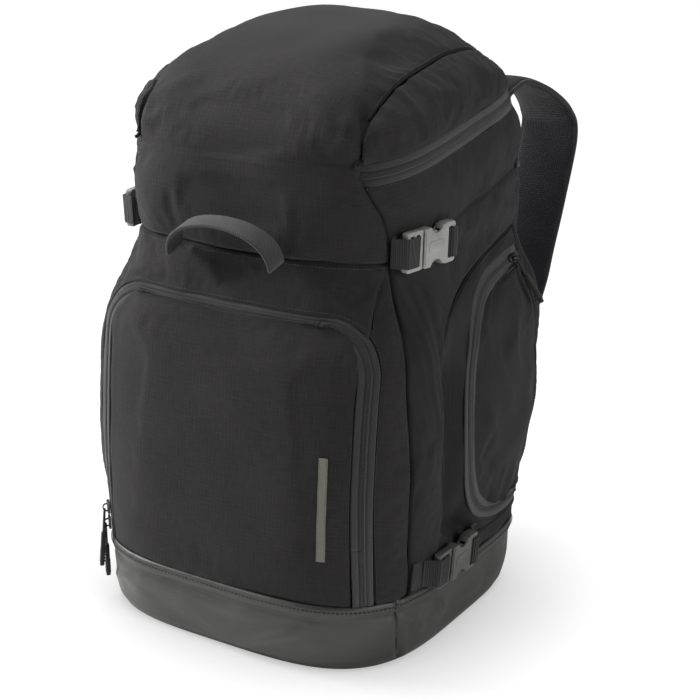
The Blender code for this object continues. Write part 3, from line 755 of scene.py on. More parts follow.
def woven(name, dark, light, ripstop=True, roughness=0.85, sheen=0.06, yarn=0.0007, flat=False):
    """Fine plain weave with slubs in both directions, and a ripstop grid where asked.

    flat reads upright walls by their place in space instead of by their cloth layer.
    """
    n = Nodes(name)
    split = n.add("ShaderNodeSeparateXYZ")
    if flat:
        n.wire(n.space(), split.inputs[0])
        u, v = n.math("ADD", split.outputs["X"], split.outputs["Y"]), split.outputs["Z"]
        merge = n.add("ShaderNodeCombineXYZ")
        n.wire(u, merge.inputs["X"])
        n.wire(v, merge.inputs["Y"])
        cloth = merge.outputs["Vector"]
    else:
        cloth = n.cloth()
        n.wire(cloth, split.inputs[0])
        u, v = split.outputs["X"], split.outputs["Y"]
    warp = n.math("SINE", n.math("MULTIPLY", u, 2 * math.pi / yarn))
    weft = n.math("SINE", n.math("MULTIPLY", v, 2 * math.pi / yarn))
    weave = n.math("MULTIPLY", warp, weft)
    slub_u = n.noise(n.stretched(cloth, 900, 60), 1.0, 2.0)
    slub_v = n.noise(n.stretched(cloth, 60, 900), 1.0, 2.0)
    slub = n.math("ADD", slub_u, slub_v)
    broad = n.noise(n.stretched(cloth, 1, 1), 9.0, 3.0)
    tone = n.math("ADD", n.ramp(slub, 0.62, 1.38), n.math("MULTIPLY", n.ramp(broad, 0.3, 0.7), 0.30))
    height = n.math("ADD", n.math("MULTIPLY", weave, 0.35), slub)
    if ripstop:
        step = 0.0042
        lines = []
        for way in (u, v):
            cell = n.math("FRACT", n.math("DIVIDE", way, step))
            off = n.math("ABSOLUTE", n.math("SUBTRACT", cell, 0.5))
            lines.append(n.ramp(off, 0.40, 0.48))
        grid = n.math("MAXIMUM", lines[0], lines[1])
        tone = n.math("ADD", tone, n.math("MULTIPLY", grid, 0.16))
        height = n.math("ADD", height, n.math("MULTIPLY", grid, 0.7))
    colour = n.mix(n.math("MULTIPLY", tone, 0.62, clamp=True), dark, light)
    normal = n.bump(height, 0.00016)
    return n.finish(colour, roughness, normal, sheen, 0.2)


def ribbed(name, dark, light, rib=0.0019, twill=False, roughness=0.72):
    """Webbing: ribs across the band, or a diagonal twill, with wear at random."""
    n = Nodes(name)
    cloth = n.cloth()
    split = n.add("ShaderNodeSeparateXYZ")
    n.wire(cloth, split.inputs[0])
    u, v = split.outputs["X"], split.outputs["Y"]
    way = n.math("ADD", n.math("MULTIPLY", u, 1.0 if twill else 0.0), v)
    ribs = n.math("SINE", n.math("MULTIPLY", way, 2 * math.pi / rib))
    cross = n.math("SINE", n.math("MULTIPLY", u, 2 * math.pi / 0.0012))
    weave = n.math("ADD", ribs, n.math("MULTIPLY", cross, 0.4))
    fuzz = n.noise(n.stretched(cloth, 1, 1), 1500.0, 2.0)
    tone = n.math("ADD", n.math("MULTIPLY", weave, 0.22), fuzz, clamp=True)
    colour = n.mix(tone, dark, light)
    return n.finish(colour, roughness, n.bump(weave, 0.00022), 0.2, 0.35)


def coated(name, dark, light):
    """Coated tarpaulin: fine grain, soft gloss with rubbed patches."""
    n = Nodes(name)
    spot = n.space()
    grain = n.noise(spot, 1400.0, 3.0)
    cloud = n.noise(spot, 14.0, 4.0)
    scuff = n.noise(n.stretched(spot, 1, 1, 5), 70.0, 5.0)
    colour = n.mix(n.ramp(cloud, 0.3, 0.7), dark, light)
    worn = n.math("MULTIPLY", n.ramp(scuff, 0.56, 0.74), 0.20)
    colour = n.mix(worn, colour, tuple(min(1.0, 1.7 * c) for c in light))
    rough = n.math("ADD", n.math("MULTIPLY", grain, 0.10), n.math("MULTIPLY", n.ramp(cloud, 0.3, 0.7), 0.08))
    rough = n.math("ADD", rough, 0.38)
    normal = n.bump(scuff, 0.0005, n.bump(grain, 0.00012))
    return n.finish(colour, rough, normal, 0.05, 0.5)

# The lower buckles take the shaded copy of the grey plastic, a painted shade.

def spacer_mesh(name, dark, light):
    """Open spacer mesh: small round holes in staggered rows."""
    n = Nodes(name)
    cloth = n.cloth()
    cells = n.add("ShaderNodeTexVoronoi", feature="F1")
    n.wire(n.stretched(cloth, 520, 400), cells.inputs["Vector"])
    cells.inputs["Scale"].default_value = 1.0
    cells.inputs["Randomness"].default_value = 0.25
    hole = n.ramp(cells.outputs["Distance"], 0.22, 0.5)
    colour = n.mix(hole, dark, light)
    return n.finish(colour, 0.85, n.bump(hole, 0.0006), 0.3, 0.3)


def moulded(name, base, worn, roughness=0.36):
    """Moulded plastic: fine spark texture, faint flow marks and paler rubbed edges."""
    n = Nodes(name)
    spot = n.space()
    spark = n.noise(spot, 2600.0, 2.0)
    flow = n.noise(n.stretched(spot, 30, 30, 90), 1.0, 3.0)
    edge = n.add("ShaderNodeNewGeometry").outputs["Pointiness"]
    rub = n.ramp(edge, 0.52, 0.60)
    colour = n.mix(n.math("MULTIPLY", n.ramp(flow, 0.3, 0.7), 0.25), base, worn)
    colour = n.mix(n.math("MULTIPLY", rub, 0.6, clamp=True), colour, worn)
    rough = n.math("ADD", n.math("MULTIPLY", spark, 0.16), roughness - 0.08)
    return n.finish(colour, rough, n.bump(spark, 0.00006), 0.0, 0.5)


def painted_metal(name, base, bare):
    n = Nodes(name)
    spot = n.space()
    chip = n.noise(spot, 700.0, 4.0)
    edge = n.add("ShaderNodeNewGeometry").outputs["Pointiness"]
    rub = n.math("MULTIPLY", n.ramp(edge, 0.52, 0.62), n.ramp(chip, 0.35, 0.6), clamp=True)
    colour = n.mix(rub, base, bare)
    return n.finish(colour, n.math("ADD", n.math("MULTIPLY", chip, 0.2), 0.24), n.bump(chip, 0.00005),
                    0.0, 0.5, 0.7)


def sewing_thread(name, base, light):
    n = Nodes(name)
    spot = n.space()
    fibre = n.noise(spot, 3000.0, 2.0)
    return n.finish(n.mix(fibre, base, light), 0.6, n.bump(fibre, 0.00005), 0.3, 0.4)


def pale_floor(name):
    """White paper. To the camera it glows a little, as painted brightness, and less so near the bag, where
    ambient occlusion paints a soft contact shadow.
    """
    n = Nodes(name)
    seen = n.add("ShaderNodeLightPath").outputs["Is Camera Ray"]
    contact_shadow_ao = n.add("ShaderNodeAmbientOcclusion", samples=16)
    contact_shadow_ao.inputs["Distance"].default_value = 0.16
    # Painted contact shadow: the camera-only glow drops where ambient occlusion finds the bag close by.
    lift = n.math("ADD", n.math("MULTIPLY", n.ramp(contact_shadow_ao.outputs["AO"], 0.35, 0.97), 0.48), 0.50)
    n.wire(n.math("MULTIPLY", seen, lift), n.shader.inputs["Emission Strength"])
    n.shader.inputs["Emission Color"].default_value = (1.0, 1.0, 1.0, 1)
    return n.finish(n.mix(seen, (0.88, 0.88, 0.88), (0.16, 0.16, 0.16)), 0.9, None, 0.0, 0.1)


MATERIALS = {
    "ripstop": woven("ripstop_cloth", (0.0100, 0.0092, 0.0094), (0.0310, 0.0285, 0.0288)),
    "lining": woven("lining_cloth", (0.012, 0.013, 0.015), (0.030, 0.032, 0.036), ripstop=False),
    "lining_plain": woven("liner_sheet", (0.012, 0.013, 0.015), (0.030, 0.032, 0.036), ripstop=False,
                          flat=True),
    "handle": ribbed("handle_webbing", (0.011, 0.0107, 0.0107), (0.036, 0.0348, 0.0342), rib=0.0022,
                     twill=True),
    "webbing": ribbed("black_webbing", (0.006, 0.006, 0.006), (0.026, 0.0255, 0.025)),
    "binding": ribbed("edge_binding", (0.005, 0.005, 0.005), (0.018, 0.0175, 0.0175), rib=0.0011),
    "tape": ribbed("zipper_tape", (0.011, 0.011, 0.0108), (0.032, 0.032, 0.0315), rib=0.0009),
    "dark_tape": ribbed("dark_zipper_tape", (0.007, 0.007, 0.0069), (0.023, 0.0228, 0.0225), rib=0.0009),
    "coil": moulded("zipper_coil", (0.012, 0.012, 0.012), (0.036, 0.036, 0.035), 0.45),
    "coated": coated("coated_base", (0.027, 0.0272, 0.0250), (0.044, 0.0445, 0.0412)),
    "mesh": spacer_mesh("strap_mesh", (0.0015, 0.0017, 0.0030), (0.0058, 0.0062, 0.0100)),
    # Lit and shaded copies of one grey plastic: the upper buckles' paler grey is painted light, the lower
    # buckles' darker grey is painted shade.
    "buckle": moulded("lit_buckle_plastic", (0.230, 0.230, 0.222), (0.380, 0.380, 0.370)),
    "buckle_painted_shade": moulded("shaded_buckle_plastic", (0.062, 0.061, 0.059), (0.115, 0.113, 0.111)),
    "black_plastic": moulded("black_pull", (0.008, 0.008, 0.008), (0.024, 0.024, 0.024), 0.42),
    "metal": painted_metal("zipper_metal", (0.012, 0.012, 0.013), (0.120, 0.120, 0.125)),
    "thread": sewing_thread("sewing_thread", (0.012, 0.0118, 0.0118), (0.036, 0.035, 0.034)),
    "dark_thread": sewing_thread("dark_thread", (0.0018, 0.0018, 0.0018), (0.0050, 0.0050, 0.0050)),
    "label": woven("label_cloth", (0.140, 0.136, 0.112), (0.225, 0.220, 0.185), ripstop=False, sheen=0.1),
}


# ---------------------------------------------------------------- panel surfaces
def zipper_x(z, offset):
    straight = POCKET_TOP - POCKET_CORNER
    radius = POCKET_CORNER + offset
    rise = np.clip(z - straight, 0, radius)
    return POCKET_HALF - POCKET_CORNER + np.sqrt(np.maximum(radius ** 2 - rise ** 2, 0))


def zipper_path(offset, low, count=260):
    """The pocket zipper's line from its left foot over the top to its right foot."""
    leg = np.linspace(low, POCKET_TOP - POCKET_CORNER, count // 3)
    turn = np.linspace(0, math.pi / 2, count // 8)[1:]
    radius = POCKET_CORNER + offset
    inner = POCKET_HALF - POCKET_CORNER
    arc_z = POCKET_TOP - POCKET_CORNER + radius * np.sin(turn)
    arc = np.stack([inner + radius * np.cos(turn), arc_z], axis=1)
    right = np.vstack([np.stack([np.full_like(leg, POCKET_HALF + offset), leg], axis=1), arc])
    left = right * [-1, 1]
    top = np.linspace(-inner, inner, count // 3)[1:-1]
    level = np.stack([top, np.full_like(top, POCKET_TOP + offset)], axis=1)
    line = np.vstack([left, level, right[::-1]])
    return front_point(line[:, 0], line[:, 1])


SIDE_INSET, TOP_INSET = 0.0084, 0.0006  # how far the flap's cloth stays from the coil


def flap_surface(u, v):
    """The flap's cloth. It covers more of the zipper along the top than down the legs."""
    rise = np.sin(v * math.pi / 2)
    low = BASE_TOP - 0.001
    z = low + (POCKET_TOP - TOP_INSET - low) * rise
    inset = SIDE_INSET + (TOP_INSET - SIDE_INSET) * smoothstep(POCKET_TOP - 0.060, POCKET_TOP, z)
    return front_point((2 * u - 1) * zipper_x(z, -inset), z)


DART_FOOT = (0.1402, 0.3285)


def dart_x(z):
    """Seam from the hood seam's end down to the zipper's corner."""
    t = np.clip((z - DART_FOOT[1]) / (HOOD_SEAM - DART_FOOT[1]), 0, 1)
    return DART_FOOT[0] - 0.003 * np.sin(math.pi * t) - 0.0022 * t


def gusset_surface(u, v):
    z = BASE_TOP - 0.001 + (HOOD_SEAM + 0.001 - BASE_TOP) * v
    inner = np.where(z < DART_FOOT[1], zipper_x(z, TAPE_COVER), dart_x(z))
    outer = seam_x(z)
    return front_point(inner + (outer - inner) * u, z)


def yoke_surface(u, v):
    """From the pocket zipper's top up to the hood seam, between the two darts."""
    across = 2 * u - 1
    offset = TAPE_COVER
    foot_x = across * DART_FOOT[0]
    inner = POCKET_HALF - POCKET_CORNER
    over = np.maximum(np.abs(foot_x) - inner, 0)
    foot_z = POCKET_TOP - POCKET_CORNER + np.sqrt((POCKET_CORNER + offset) ** 2 - over ** 2)
    z = foot_z + (HOOD_SEAM + 0.0005 - foot_z) * v
    return front_point(across * dart_x(z) + across * 0.0022 * v, z)


def rear_foot(x):
    """Where the hood's cloth meets its zipper at the back, at this width."""
    y = 0.14
    for _ in range(12):
        y = float(back_y(x, plane_z(y) + TAPE_LAP))
    return np.array([x, y, plane_z(y) + TAPE_LAP])


def hood_top_surface(rows):
    """One cloth from the hood seam up the front, over the crown and down to the zipper at the back."""
    def surface(u, v):
        across = 2 * u[0] - 1
        columns = []
        for share in across:
            z = np.linspace(HOOD_SEAM - 0.0005, PLANE_Z - 0.004, 40)
            front = front_point(share * seam_x(z), z)
            x = share * HOOD_SEAM_X
            half, ahead, _ = sizes(PLANE_Z)
            y_front = MIDDLE_Y - ahead * (1 - (abs(x) / half) ** FRONT_POWER) ** (1 / FRONT_POWER)
            y_rear = back_y(x, plane_z(0.16) + 0.012)
            turn = np.linspace(0, math.pi, 700)
            y = (y_front + y_rear) / 2 - (y_rear - y_front) / 2 * np.cos(turn)
            top = np.stack([np.full_like(y, x), y, hood_height(x, y, 0.010)], axis=1)
            rear = rear_foot(x)
            inside = (top[:, 2] > front[-1, 2] + 0.002) & (top[:, 1] < rear[1])
            path = np.vstack([front, top[inside], rear])
            columns += resample(rows + 1, path)
        return np.stack(columns, axis=1)
    return surface


def hood_side_surface(rows):
    """From the zipper up to the top panel's side seam, right side, front corner to back corner."""
    def surface(u, v):
        columns = []
        y_start = -0.1385
        y_end = rear_foot(HOOD_SEAM_X)[1] - 0.0006
        for y in y_start + (y_end - y_start) * u[0]:
            z = plane_z(y) + TAPE_LAP
            edge = side_point(y, z)[0]
            x = edge - (edge - HOOD_SEAM_X) * (1 - np.cos(np.linspace(0, math.pi / 2, 300)))
            high = hood_height(x, np.full_like(x, y), TAPE_LAP)
            high[0] = z
            path = np.stack([x, np.full_like(x, y), high], axis=1)
            columns += resample(rows + 1, path)
        return np.stack(columns, axis=1)
    return surface


def rear_y(z):
    return outline(z, BACK_CORNER)[..., 1]


COLLAR_MIDDLE = 0.43  # first guess of the collar's height


def collar_surface(u, v):
    """Between the side's folded edge and the hood zipper, from the upright seam to the rear corner."""
    z = np.full_like(u, COLLAR_MIDDLE)
    for _ in range(8):
        start = read(SEAM, z)
        y = start + (rear_y(z) - start) * u
        low, top = wing_z(y), plane_z(y) - TAPE_LAP
        z = low + (top - low) * v
    return side_point(y, z)


def door_line(offset, count=160):
    line = spline(DOOR_EDGE, count)
    ahead = np.gradient(line, axis=0)
    return line + unit(np.stack([-ahead[:, 1], ahead[:, 0]], axis=1)) * -offset


def door_surface(u, v):
    line = door_line(-DOOR_COVER, v.shape[0])
    y = line[:, :1] + (DOOR_HINGE_Y - line[:, :1]) * u
    z = line[:, 1:] + np.zeros_like(u)
    return side_point(y, z)[::-1]


def polar(points):
    """Reach from the door's middle by heading, as a function."""
    off = points - np.array(DOOR_MIDDLE)
    heading = np.unwrap(np.arctan2(off[:, 1], off[:, 0]))
    reach = np.hypot(off[:, 0], off[:, 1])
    order = np.argsort(heading % (2 * math.pi))
    return lambda at: np.interp(at, heading[order] % (2 * math.pi), reach[order], period=2 * math.pi)


SIDE_REAR_Y = 0.1475  # upper rear corner of the side panel


def side_border(step):
    """Closed border of the side panel as (depth, height), from the front foot up, anticlockwise seen flat."""
    up = np.arange(BASE_TOP - 0.001, wing_z(-0.122), step)
    front = np.stack([read(SEAM, up), up], axis=1)
    y = np.arange(-0.1225, SIDE_REAR_Y, step)
    top = np.stack([y, wing_z(y) + 0.001], axis=1)
    down = np.arange(wing_z(SIDE_REAR_Y), BASE_TOP, -step)
    rear = np.stack([rear_y(down), down], axis=1)
    low_rear = rear_y(BASE_TOP)
    back = np.arange(low_rear, read(SEAM, BASE_TOP), -step)
    foot = np.stack([back, np.full_like(back, BASE_TOP - 0.001)], axis=1)
    return np.vstack([front, top, rear, foot])


def ring_surface(inner, outer, headings):
    def surface(u, v):
        a, b = inner(headings), outer(headings)
        reach = a[None] + (b - a)[None] * v
        y = DOOR_MIDDLE[0] + reach * np.cos(headings)
        z = DOOR_MIDDLE[1] + reach * np.sin(headings)
        return side_point(y, z)
    return surface


def door_opening(offset):
    """Closed line round the door as (depth, height), moved outwards by offset."""
    line = door_line(offset)
    rear = np.linspace(line[-1, 1], line[0, 1], 60)[1:-1]
    hinge = DOOR_HINGE_Y + 0.0006
    back = np.stack([np.full_like(rear, hinge), rear], axis=1)
    return np.vstack([line, [[hinge, line[-1, 1]]], back, [[hinge, line[0, 1]]]])


def surround_line():
    line = spline(SURROUND, 200)
    rear = np.linspace(line[-1, 1], line[0, 1], 40)[1:-1]
    return np.vstack([line, np.stack([np.full_like(rear, line[0, 0]), rear], axis=1)])


def closed_headings(border):
    """Headings of the border's points from the door's middle, falling, once round."""
    off = border - np.array(DOOR_MIDDLE)
    heading = np.sort(np.unique(np.round(np.arctan2(off[:, 1], off[:, 0]), 5)))[::-1]
    return np.append(heading, heading[0] - 2 * math.pi)


def cells(size):
    return max(4, int(round(size / CELL)))


def crease(across, along, start, end, width, height, skew=1.0):
    """A ridge between two points given in metres along the cloth. One flank is wider by skew."""
    way = np.subtract(end, start)
    long = np.linalg.norm(way)
    way = way / long
    run = (across - start[0]) * way[0] + (along - start[1]) * way[1]
    off = (across - start[0]) * -way[1] + (along - start[1]) * way[0]
    ends = smoothstep(-0.1 * long, 0.4 * long, run) * smoothstep(-0.1 * long, 0.4 * long, long - run)
    spread = np.where(off > 0, width, width * skew)
    return height * np.exp(-(off / spread) ** 2) * ends


# ---------------------------------------------------------------- base
def make_base():
    floor_rows, wall_rows = 8, cells(BASE_TOP)
    around = cells(1.14)

    def surface(u, v):
        angle = -math.pi / 2 + 2 * math.pi * (u - 0.5)
        row = np.arange(floor_rows + wall_rows + 1)
        z = np.clip((row - floor_rows) / wall_rows, 0, 1) * (BASE_TOP + 0.0008)
        scale = np.clip(row / floor_rows, 0.002, 1)[:, None, None]
        wall = outline(z[:, None] + np.zeros_like(u), angle)
        centre = np.array([0, MIDDLE_Y, 0])
        flat = centre + (wall - centre) * scale
        flat[..., 2] = wall[..., 2]
        return flat

    net = Net(surface, around, floor_rows + wall_rows, ring=True)
    z = net.points[..., 2]
    wall = z > 0.0005
    across = net.left - net.left[:, around // 2, None]
    corner = corner_run()
    from_corner = np.abs(np.abs(across) - corner)
    rise = smoothstep(0.0, 0.02, z)
    hem = 0.0014 * smoothstep(BASE_TOP - 0.0128, BASE_TOP - 0.0108, z) * (1 - bump(z, BASE_TOP, 0.0015) * 0.6)
    height = hem - 0.0016 * bump(z, BASE_TOP - 0.0138, 0.0024)
    height += tuck(from_corner, 0.0030, 0.0032) + 0.0012 * bump(from_corner, 0.007, 0.005)
    height += 0.0010 * waves(net, 5, 0.075) * rise * smoothstep(0, 0.02, BASE_TOP - z)
    height += 0.0013 * bump(z, 0.034, 0.022)
    height += gathers(from_corner, z, 6, 0.010, 0.0016, 0.018, 0.6)
    height += gathers(BASE_TOP - 0.013 - z, across, 7, 0.020, 0.0012, 0.016, 0.9) * (z < BASE_TOP - 0.013)
    for start, end, wide, high in (((0.034, 0.010), (0.120, 0.046), 0.0048, 0.0019),
                                   ((0.000, 0.041), (0.070, 0.047), 0.0050, 0.0013),
                                   ((-0.150, 0.020), (-0.080, 0.050), 0.0050, 0.0012),
                                   ((0.215, 0.050), (0.245, 0.020), 0.0040, 0.0018),
                                   ((0.262, 0.052), (0.285, 0.022), 0.0040, 0.0016),
                                   ((0.330, 0.048), (0.350, 0.018), 0.0050, 0.0012)):
        height += 2.4 * crease(across, z, start, end, 0.8 * wide, high, 1.8)
        height += 0.4 * crease(-across, z, start, end, wide, high, 1.8)
    net.lift(height * wall)
    net.measure()
    obj = cloth_mesh("base_skin", net, "coated", 0.0026)
    place(obj, "pack_body", "coated", "base_tub")
    corners = [wall_seam(net, across, side * corner, floor_rows + 1) for side in (-1, 1)]
    piping = [tube("base_piping", line, 0.0011, "webbing", 8) for line in corners]
    place(join("base_corner_piping", piping), "pack_body", "coated")
    path, normal = wall_line(net, BASE_TOP - 0.0046)
    row = stitches("base_stitching", path + normal * 0.0005, normal, 0.0042, 0.0028, 0.00050, "dark_thread")
    place(row, "pack_body", "coated")


def corner_run():
    """Distance round the base's outline from the front's middle to its corner seam."""
    angle = np.linspace(-math.pi / 2, 0, 400)
    line = outline(0.05, angle)
    run = lengths(line)
    return float(np.interp(-0.124, line[:, 1], run))


def wall_seam(net, across, run, start):
    """Points of a net that lie one distance round it, from a row upward."""
    made = []
    for row in range(start, net.points.shape[0]):
        at = float(np.interp(run, across[row], np.arange(across.shape[1])))
        low = int(at)
        made.append(net.points[row, low] * (1 + low - at) + net.points[row, low + 1] * (at - low))
    return made


def wall_line(net, z):
    """Points and normals where a net crosses a height."""
    heights = net.points[..., 2]
    rows = [np.interp(z, heights[:, k], np.arange(heights.shape[0])) for k in range(heights.shape[1])]
    low = np.floor(rows).astype(int)
    t = (np.array(rows) - low)[:, None]
    k = np.arange(heights.shape[1])
    high = np.minimum(low + 1, heights.shape[0] - 1)
    return (net.points[low, k] * (1 - t) + net.points[high, k] * t,
            net.normal[low, k] * (1 - t) + net.normal[high, k] * t)


# ---------------------------------------------------------------- cloth panels
def make_nets():
    nets = {
        "flap": Net(flap_surface, cells(0.29), cells(0.26)),
        "gusset": Net(gusset_surface, cells(0.055), cells(0.32)),
        "yoke": Net(yoke_surface, cells(0.29), cells(0.05)),
        "hood_top": Net(hood_top_surface(cells(0.50)), cells(0.27), cells(0.50)),
        "hood_side": Net(hood_side_surface(cells(0.08)), cells(0.29), cells(0.08)),
        "collar": Net(collar_surface, cells(0.28), cells(0.05)),
        "door": Net(door_surface, cells(0.14), cells(0.27)),
    }
    border = side_border(CELL)
    headings = closed_headings(border)
    opening = polar(door_opening(TAPE_COVER))
    seam = polar(surround_line())
    edge = polar(border)
    around = len(headings) - 1
    nets["surround"] = Net(ring_surface(opening, seam, headings), around, cells(0.032), ring=True)
    nets["side"] = Net(ring_surface(seam, edge, headings), around, cells(0.055), ring=True)
    start = BACK_CORNER - 0.004

    def back_surface(u, v):
        angle = start + (math.pi - 2 * start) * u
        top = ring_point(angle, -TAPE_LAP)[..., 2]
        low = BASE_TOP - 0.001
        return outline(low + (top - low) * v, angle)

    nets["back"] = Net(back_surface, cells(0.24), cells(0.42))
    return nets


ALL_ROUND = "left right low high"
# Padding of each panel: height, reach from a seam, and the edges where it's sewn down.
PADDING = {
    "flap": (0.0035, 0.035, ALL_ROUND),
    "gusset": (0.0030, 0.014, "left right"),
    "yoke": (0.0025, 0.014, "low high"),
    "hood_top": (0.0030, 0.030, "left right low"),
    "hood_side": (0.0035, 0.016, "low high"),
    "collar": (0.0025, 0.012, "low high"),
    "door": (0.0050, 0.030, ALL_ROUND),
    "surround": (0.0022, 0.008, "low high"),
    "side": (0.0032, 0.012, "low high"),
    "back": (0.0060, 0.030, ALL_ROUND),
}
# Cloth simulation of each panel: pressure, growth of the cloth, and the most that a point moves.
DRAPES = {
    "flap": (0.25, 0.004, 0.0008),
    "yoke": (0.20, 0.020, 0.0016),
    "gusset": (0.20, 0.012, 0.0014),
    "hood_top": (0.30, 0.012, 0.0020),
    "hood_side": (0.20, 0.025, 0.0024),
    "collar": (0.20, 0.015, 0.0018),
    "door": (0.30, 0.014, 0.0022),
    "side": (0.20, 0.010, 0.0014),
    "back": (0.25, 0.008, 0.0024),
}


def shape_nets(nets):
    """Padding before the cloth simulation. The surround dips ahead of the door, where the zipper turns."""
    for name, net in nets.items():
        swell = puff(net, *PADDING[name])
        if name == "surround":
            y, z = net.points[..., 1], net.points[..., 2]
            dip = smoothstep(0.010, -0.045, y) * smoothstep(0.335, 0.250, z)
            share = net.low / (net.low + net.high)
            net.lift(swell * (1 - dip))
            net.points[..., 0] -= 0.0230 * dip * np.sin(math.pi * share ** 1.7) ** 0.8
            net.relax(6)
        else:
            net.lift(swell)
        net.measure()


def simulate(nets):
    drape = Drape()
    for name, settings in DRAPES.items():
        drape.add(nets[name], *settings)
    drape.run()


def gathered(net, edge, seed, pitch, height, reach, slant=0.5):
    """Gathers that start at one edge of a net."""
    along = net.left if edge in ("low", "high") else net.low
    return gathers(getattr(net, edge), along, seed, pitch, height, reach, slant)


def flap_relief(net):
    height = tuck(net.edge(), 0.0024, 0.0030) + 0.0006 * waves(net, 11, 0.10)
    height += gathered(net, "high", 12, 0.016, 0.0007, 0.020)
    height += gathered(net, "right", 13, 0.020, 0.0005, 0.015)
    height += gathered(net, "low", 14, 0.018, 0.0006, 0.014)
    return height + 0.0034 * bump(net.high, 0.001, 0.008)


def gusset_relief(net):
    height = tuck(net.edge("right low"), 0.0030, 0.0040) + tuck(net.edge("left high"), 0.0020, 0.0025)
    height += gathered(net, "right", 21, 0.016, 0.0010, 0.012)
    height += gathered(net, "low", 22, 0.010, 0.0014, 0.020, 1.0)
    return height + 0.0007 * waves(net, 23, 0.060, stretch=0.5)


def yoke_relief(net):
    height = tuck(net.high, 0.0040, 0.0045) + tuck(net.edge("left right"), 0.0024, 0.0025)
    height += 0.0008 * np.exp(-net.low / 0.004)
    height += gathered(net, "high", 31, 0.015, 0.0016, 0.016, 0.8)
    height += gathered(net, "low", 32, 0.022, 0.0008, 0.012)
    return height + 0.0008 * waves(net, 33, 0.060)


def hood_top_relief(net):
    """Puckers and folds gather at the front corners, where the hood bends over."""
    height = tuck(net.low, 0.0045, 0.0050) + tuck(net.high, 0.0020, 0.0030)
    height += tuck(net.edge("left right"), 0.0026, 0.0034)
    height += 0.0011 * waves(net, 41, 0.110) + gathered(net, "low", 42, 0.022, 0.0010, 0.020)
    upper = smoothstep(0.07, 0.12, net.low)
    for edge, seed in (("left", 43), ("right", 44)):
        side = getattr(net, edge)
        height += gathered(net, edge, seed, 0.013, 0.0017, 0.017, 0.9) * upper
        height -= 0.0085 * bump(side - 0.5 * (net.low - 0.134), 0.004, 0.0055) * bump(net.low, 0.134, 0.013)
        height += 0.0036 * bump(side, 0.016, 0.008) * bump(net.low, 0.128, 0.020)
        height += crease(side, net.low, (0.004, 0.104), (0.055, 0.128), 0.0055, 0.0026, 2.0)
        height += crease(side, net.low, (0.010, 0.128), (0.075, 0.172), 0.0060, 0.0022, 2.0)
        height += crease(side, net.low, (0.002, 0.086), (0.040, 0.090), 0.0035, 0.0014, 1.5)
        height += crease(side, net.low, (0.004, 0.165), (0.045, 0.215), 0.0060, 0.0016, 2.0)
    return height


def hood_side_relief(net):
    height = tuck(net.low, 0.0018, 0.0025) + tuck(net.high, 0.0034, 0.0040) + tuck(net.left, 0.0040, 0.0060)
    ahead = 1 - smoothstep(0.090, 0.150, net.left)
    height += gathered(net, "high", 51, 0.0105, 0.0048, 0.024, 0.4) * (0.25 + 0.75 * ahead)
    height += gathered(net, "low", 52, 0.018, 0.0008, 0.012)
    height -= 0.0014 * bump(net.high, 0.0105, 0.0013) * (1 - ahead)
    return height + 0.0008 * waves(net, 53, 0.060)


def collar_relief(net):
    height = tuck(net.high, 0.0018, 0.0025) + tuck(net.left, 0.0034, 0.0045) + tuck(net.right, 0.0030, 0.0040)
    height += 0.0020 * np.exp(-net.low / 0.006) - 0.0016 * bump(net.low, 0.0016, 0.0012)
    height += gathered(net, "left", 61, 0.010, 0.0020, 0.022, 0.8)
    return height + 0.0009 * waves(net, 62, 0.060)


def door_relief(net):
    height = tuck(net.edge("left low high"), 0.0022, 0.0030) + tuck(net.right, 0.0030, 0.0040)
    height += gathered(net, "left", 71, 0.022, 0.0010, 0.026, 1.2)
    height += gathered(net, "high", 72, 0.016, 0.0014, 0.026, 0.8)
    height += gathered(net, "low", 73, 0.018, 0.0010, 0.020, 0.8)
    height += crease(net.left, net.low, (0.012, 0.235), (0.048, 0.135), 0.0042, 0.0028, 2.2)
    height += crease(net.left, net.low, (0.034, 0.245), (0.078, 0.150), 0.0046, 0.0026, 2.2)
    height += crease(net.left, net.low, (0.006, 0.165), (0.030, 0.110), 0.0040, 0.0020, 2.0)
    height += crease(net.left, net.low, (0.020, 0.030), (0.006, 0.095), 0.0050, 0.0024, 2.0)
    return height + 0.0010 * waves(net, 74, 0.090)


def surround_relief(net):
    height = tuck(net.high, 0.0026, 0.0034) + tuck(net.low, 0.0016, 0.0020)
    return height + gathered(net, "high", 81, 0.020, 0.0008, 0.010) + 0.0006 * waves(net, 82, 0.050)


def side_relief(net):
    height = tuck(net.high, 0.0032, 0.0040) + tuck(net.low, 0.0022, 0.0028)
    return height + gathered(net, "high", 91, 0.016, 0.0011, 0.014, 0.7) + 0.0008 * waves(net, 92, 0.070)


def back_relief(net):
    """Two upright channels part the back's padding."""
    channel = np.abs(np.abs(net.left - net.left[:, -1:] / 2) - 0.045)
    return tuck(net.edge(), 0.0034, 0.0050) + tuck(channel, 0.0050, 0.0060) + 0.0008 * waves(net, 95, 0.080)


RELIEF = {
    "flap": flap_relief,
    "gusset": gusset_relief,
    "yoke": yoke_relief,
    "hood_top": hood_top_relief,
    "hood_side": hood_side_relief,
    "collar": collar_relief,
    "door": door_relief,
    "surround": surround_relief,
    "side": side_relief,
    "back": back_relief,
}


def finish_nets(nets):
    """Seam dips, puckers and folds, on top of the simulated shape."""
    for name, net in nets.items():
        net.refine()
        net.lift(RELIEF[name](net))
        net.measure()


# Panels with a left and a right: net, piece, body and the frame node they stand for.
PAIRED_PANELS = (
    ("gusset", "pocket_gusset_cloth_{}", "pack_body", "pocket_gusset_{}"),
    ("hood_side", "hood_side_cloth_{}", "hood", "hood_side_{}"),
    ("collar", "side_collar_cloth_{}", "pack_body", "side_collar_{}"),
    ("surround", "door_surround_cloth_{}", "pack_body"),
    ("side", "side_panel_cloth_{}", "pack_body", "side_panel_{}"),
)


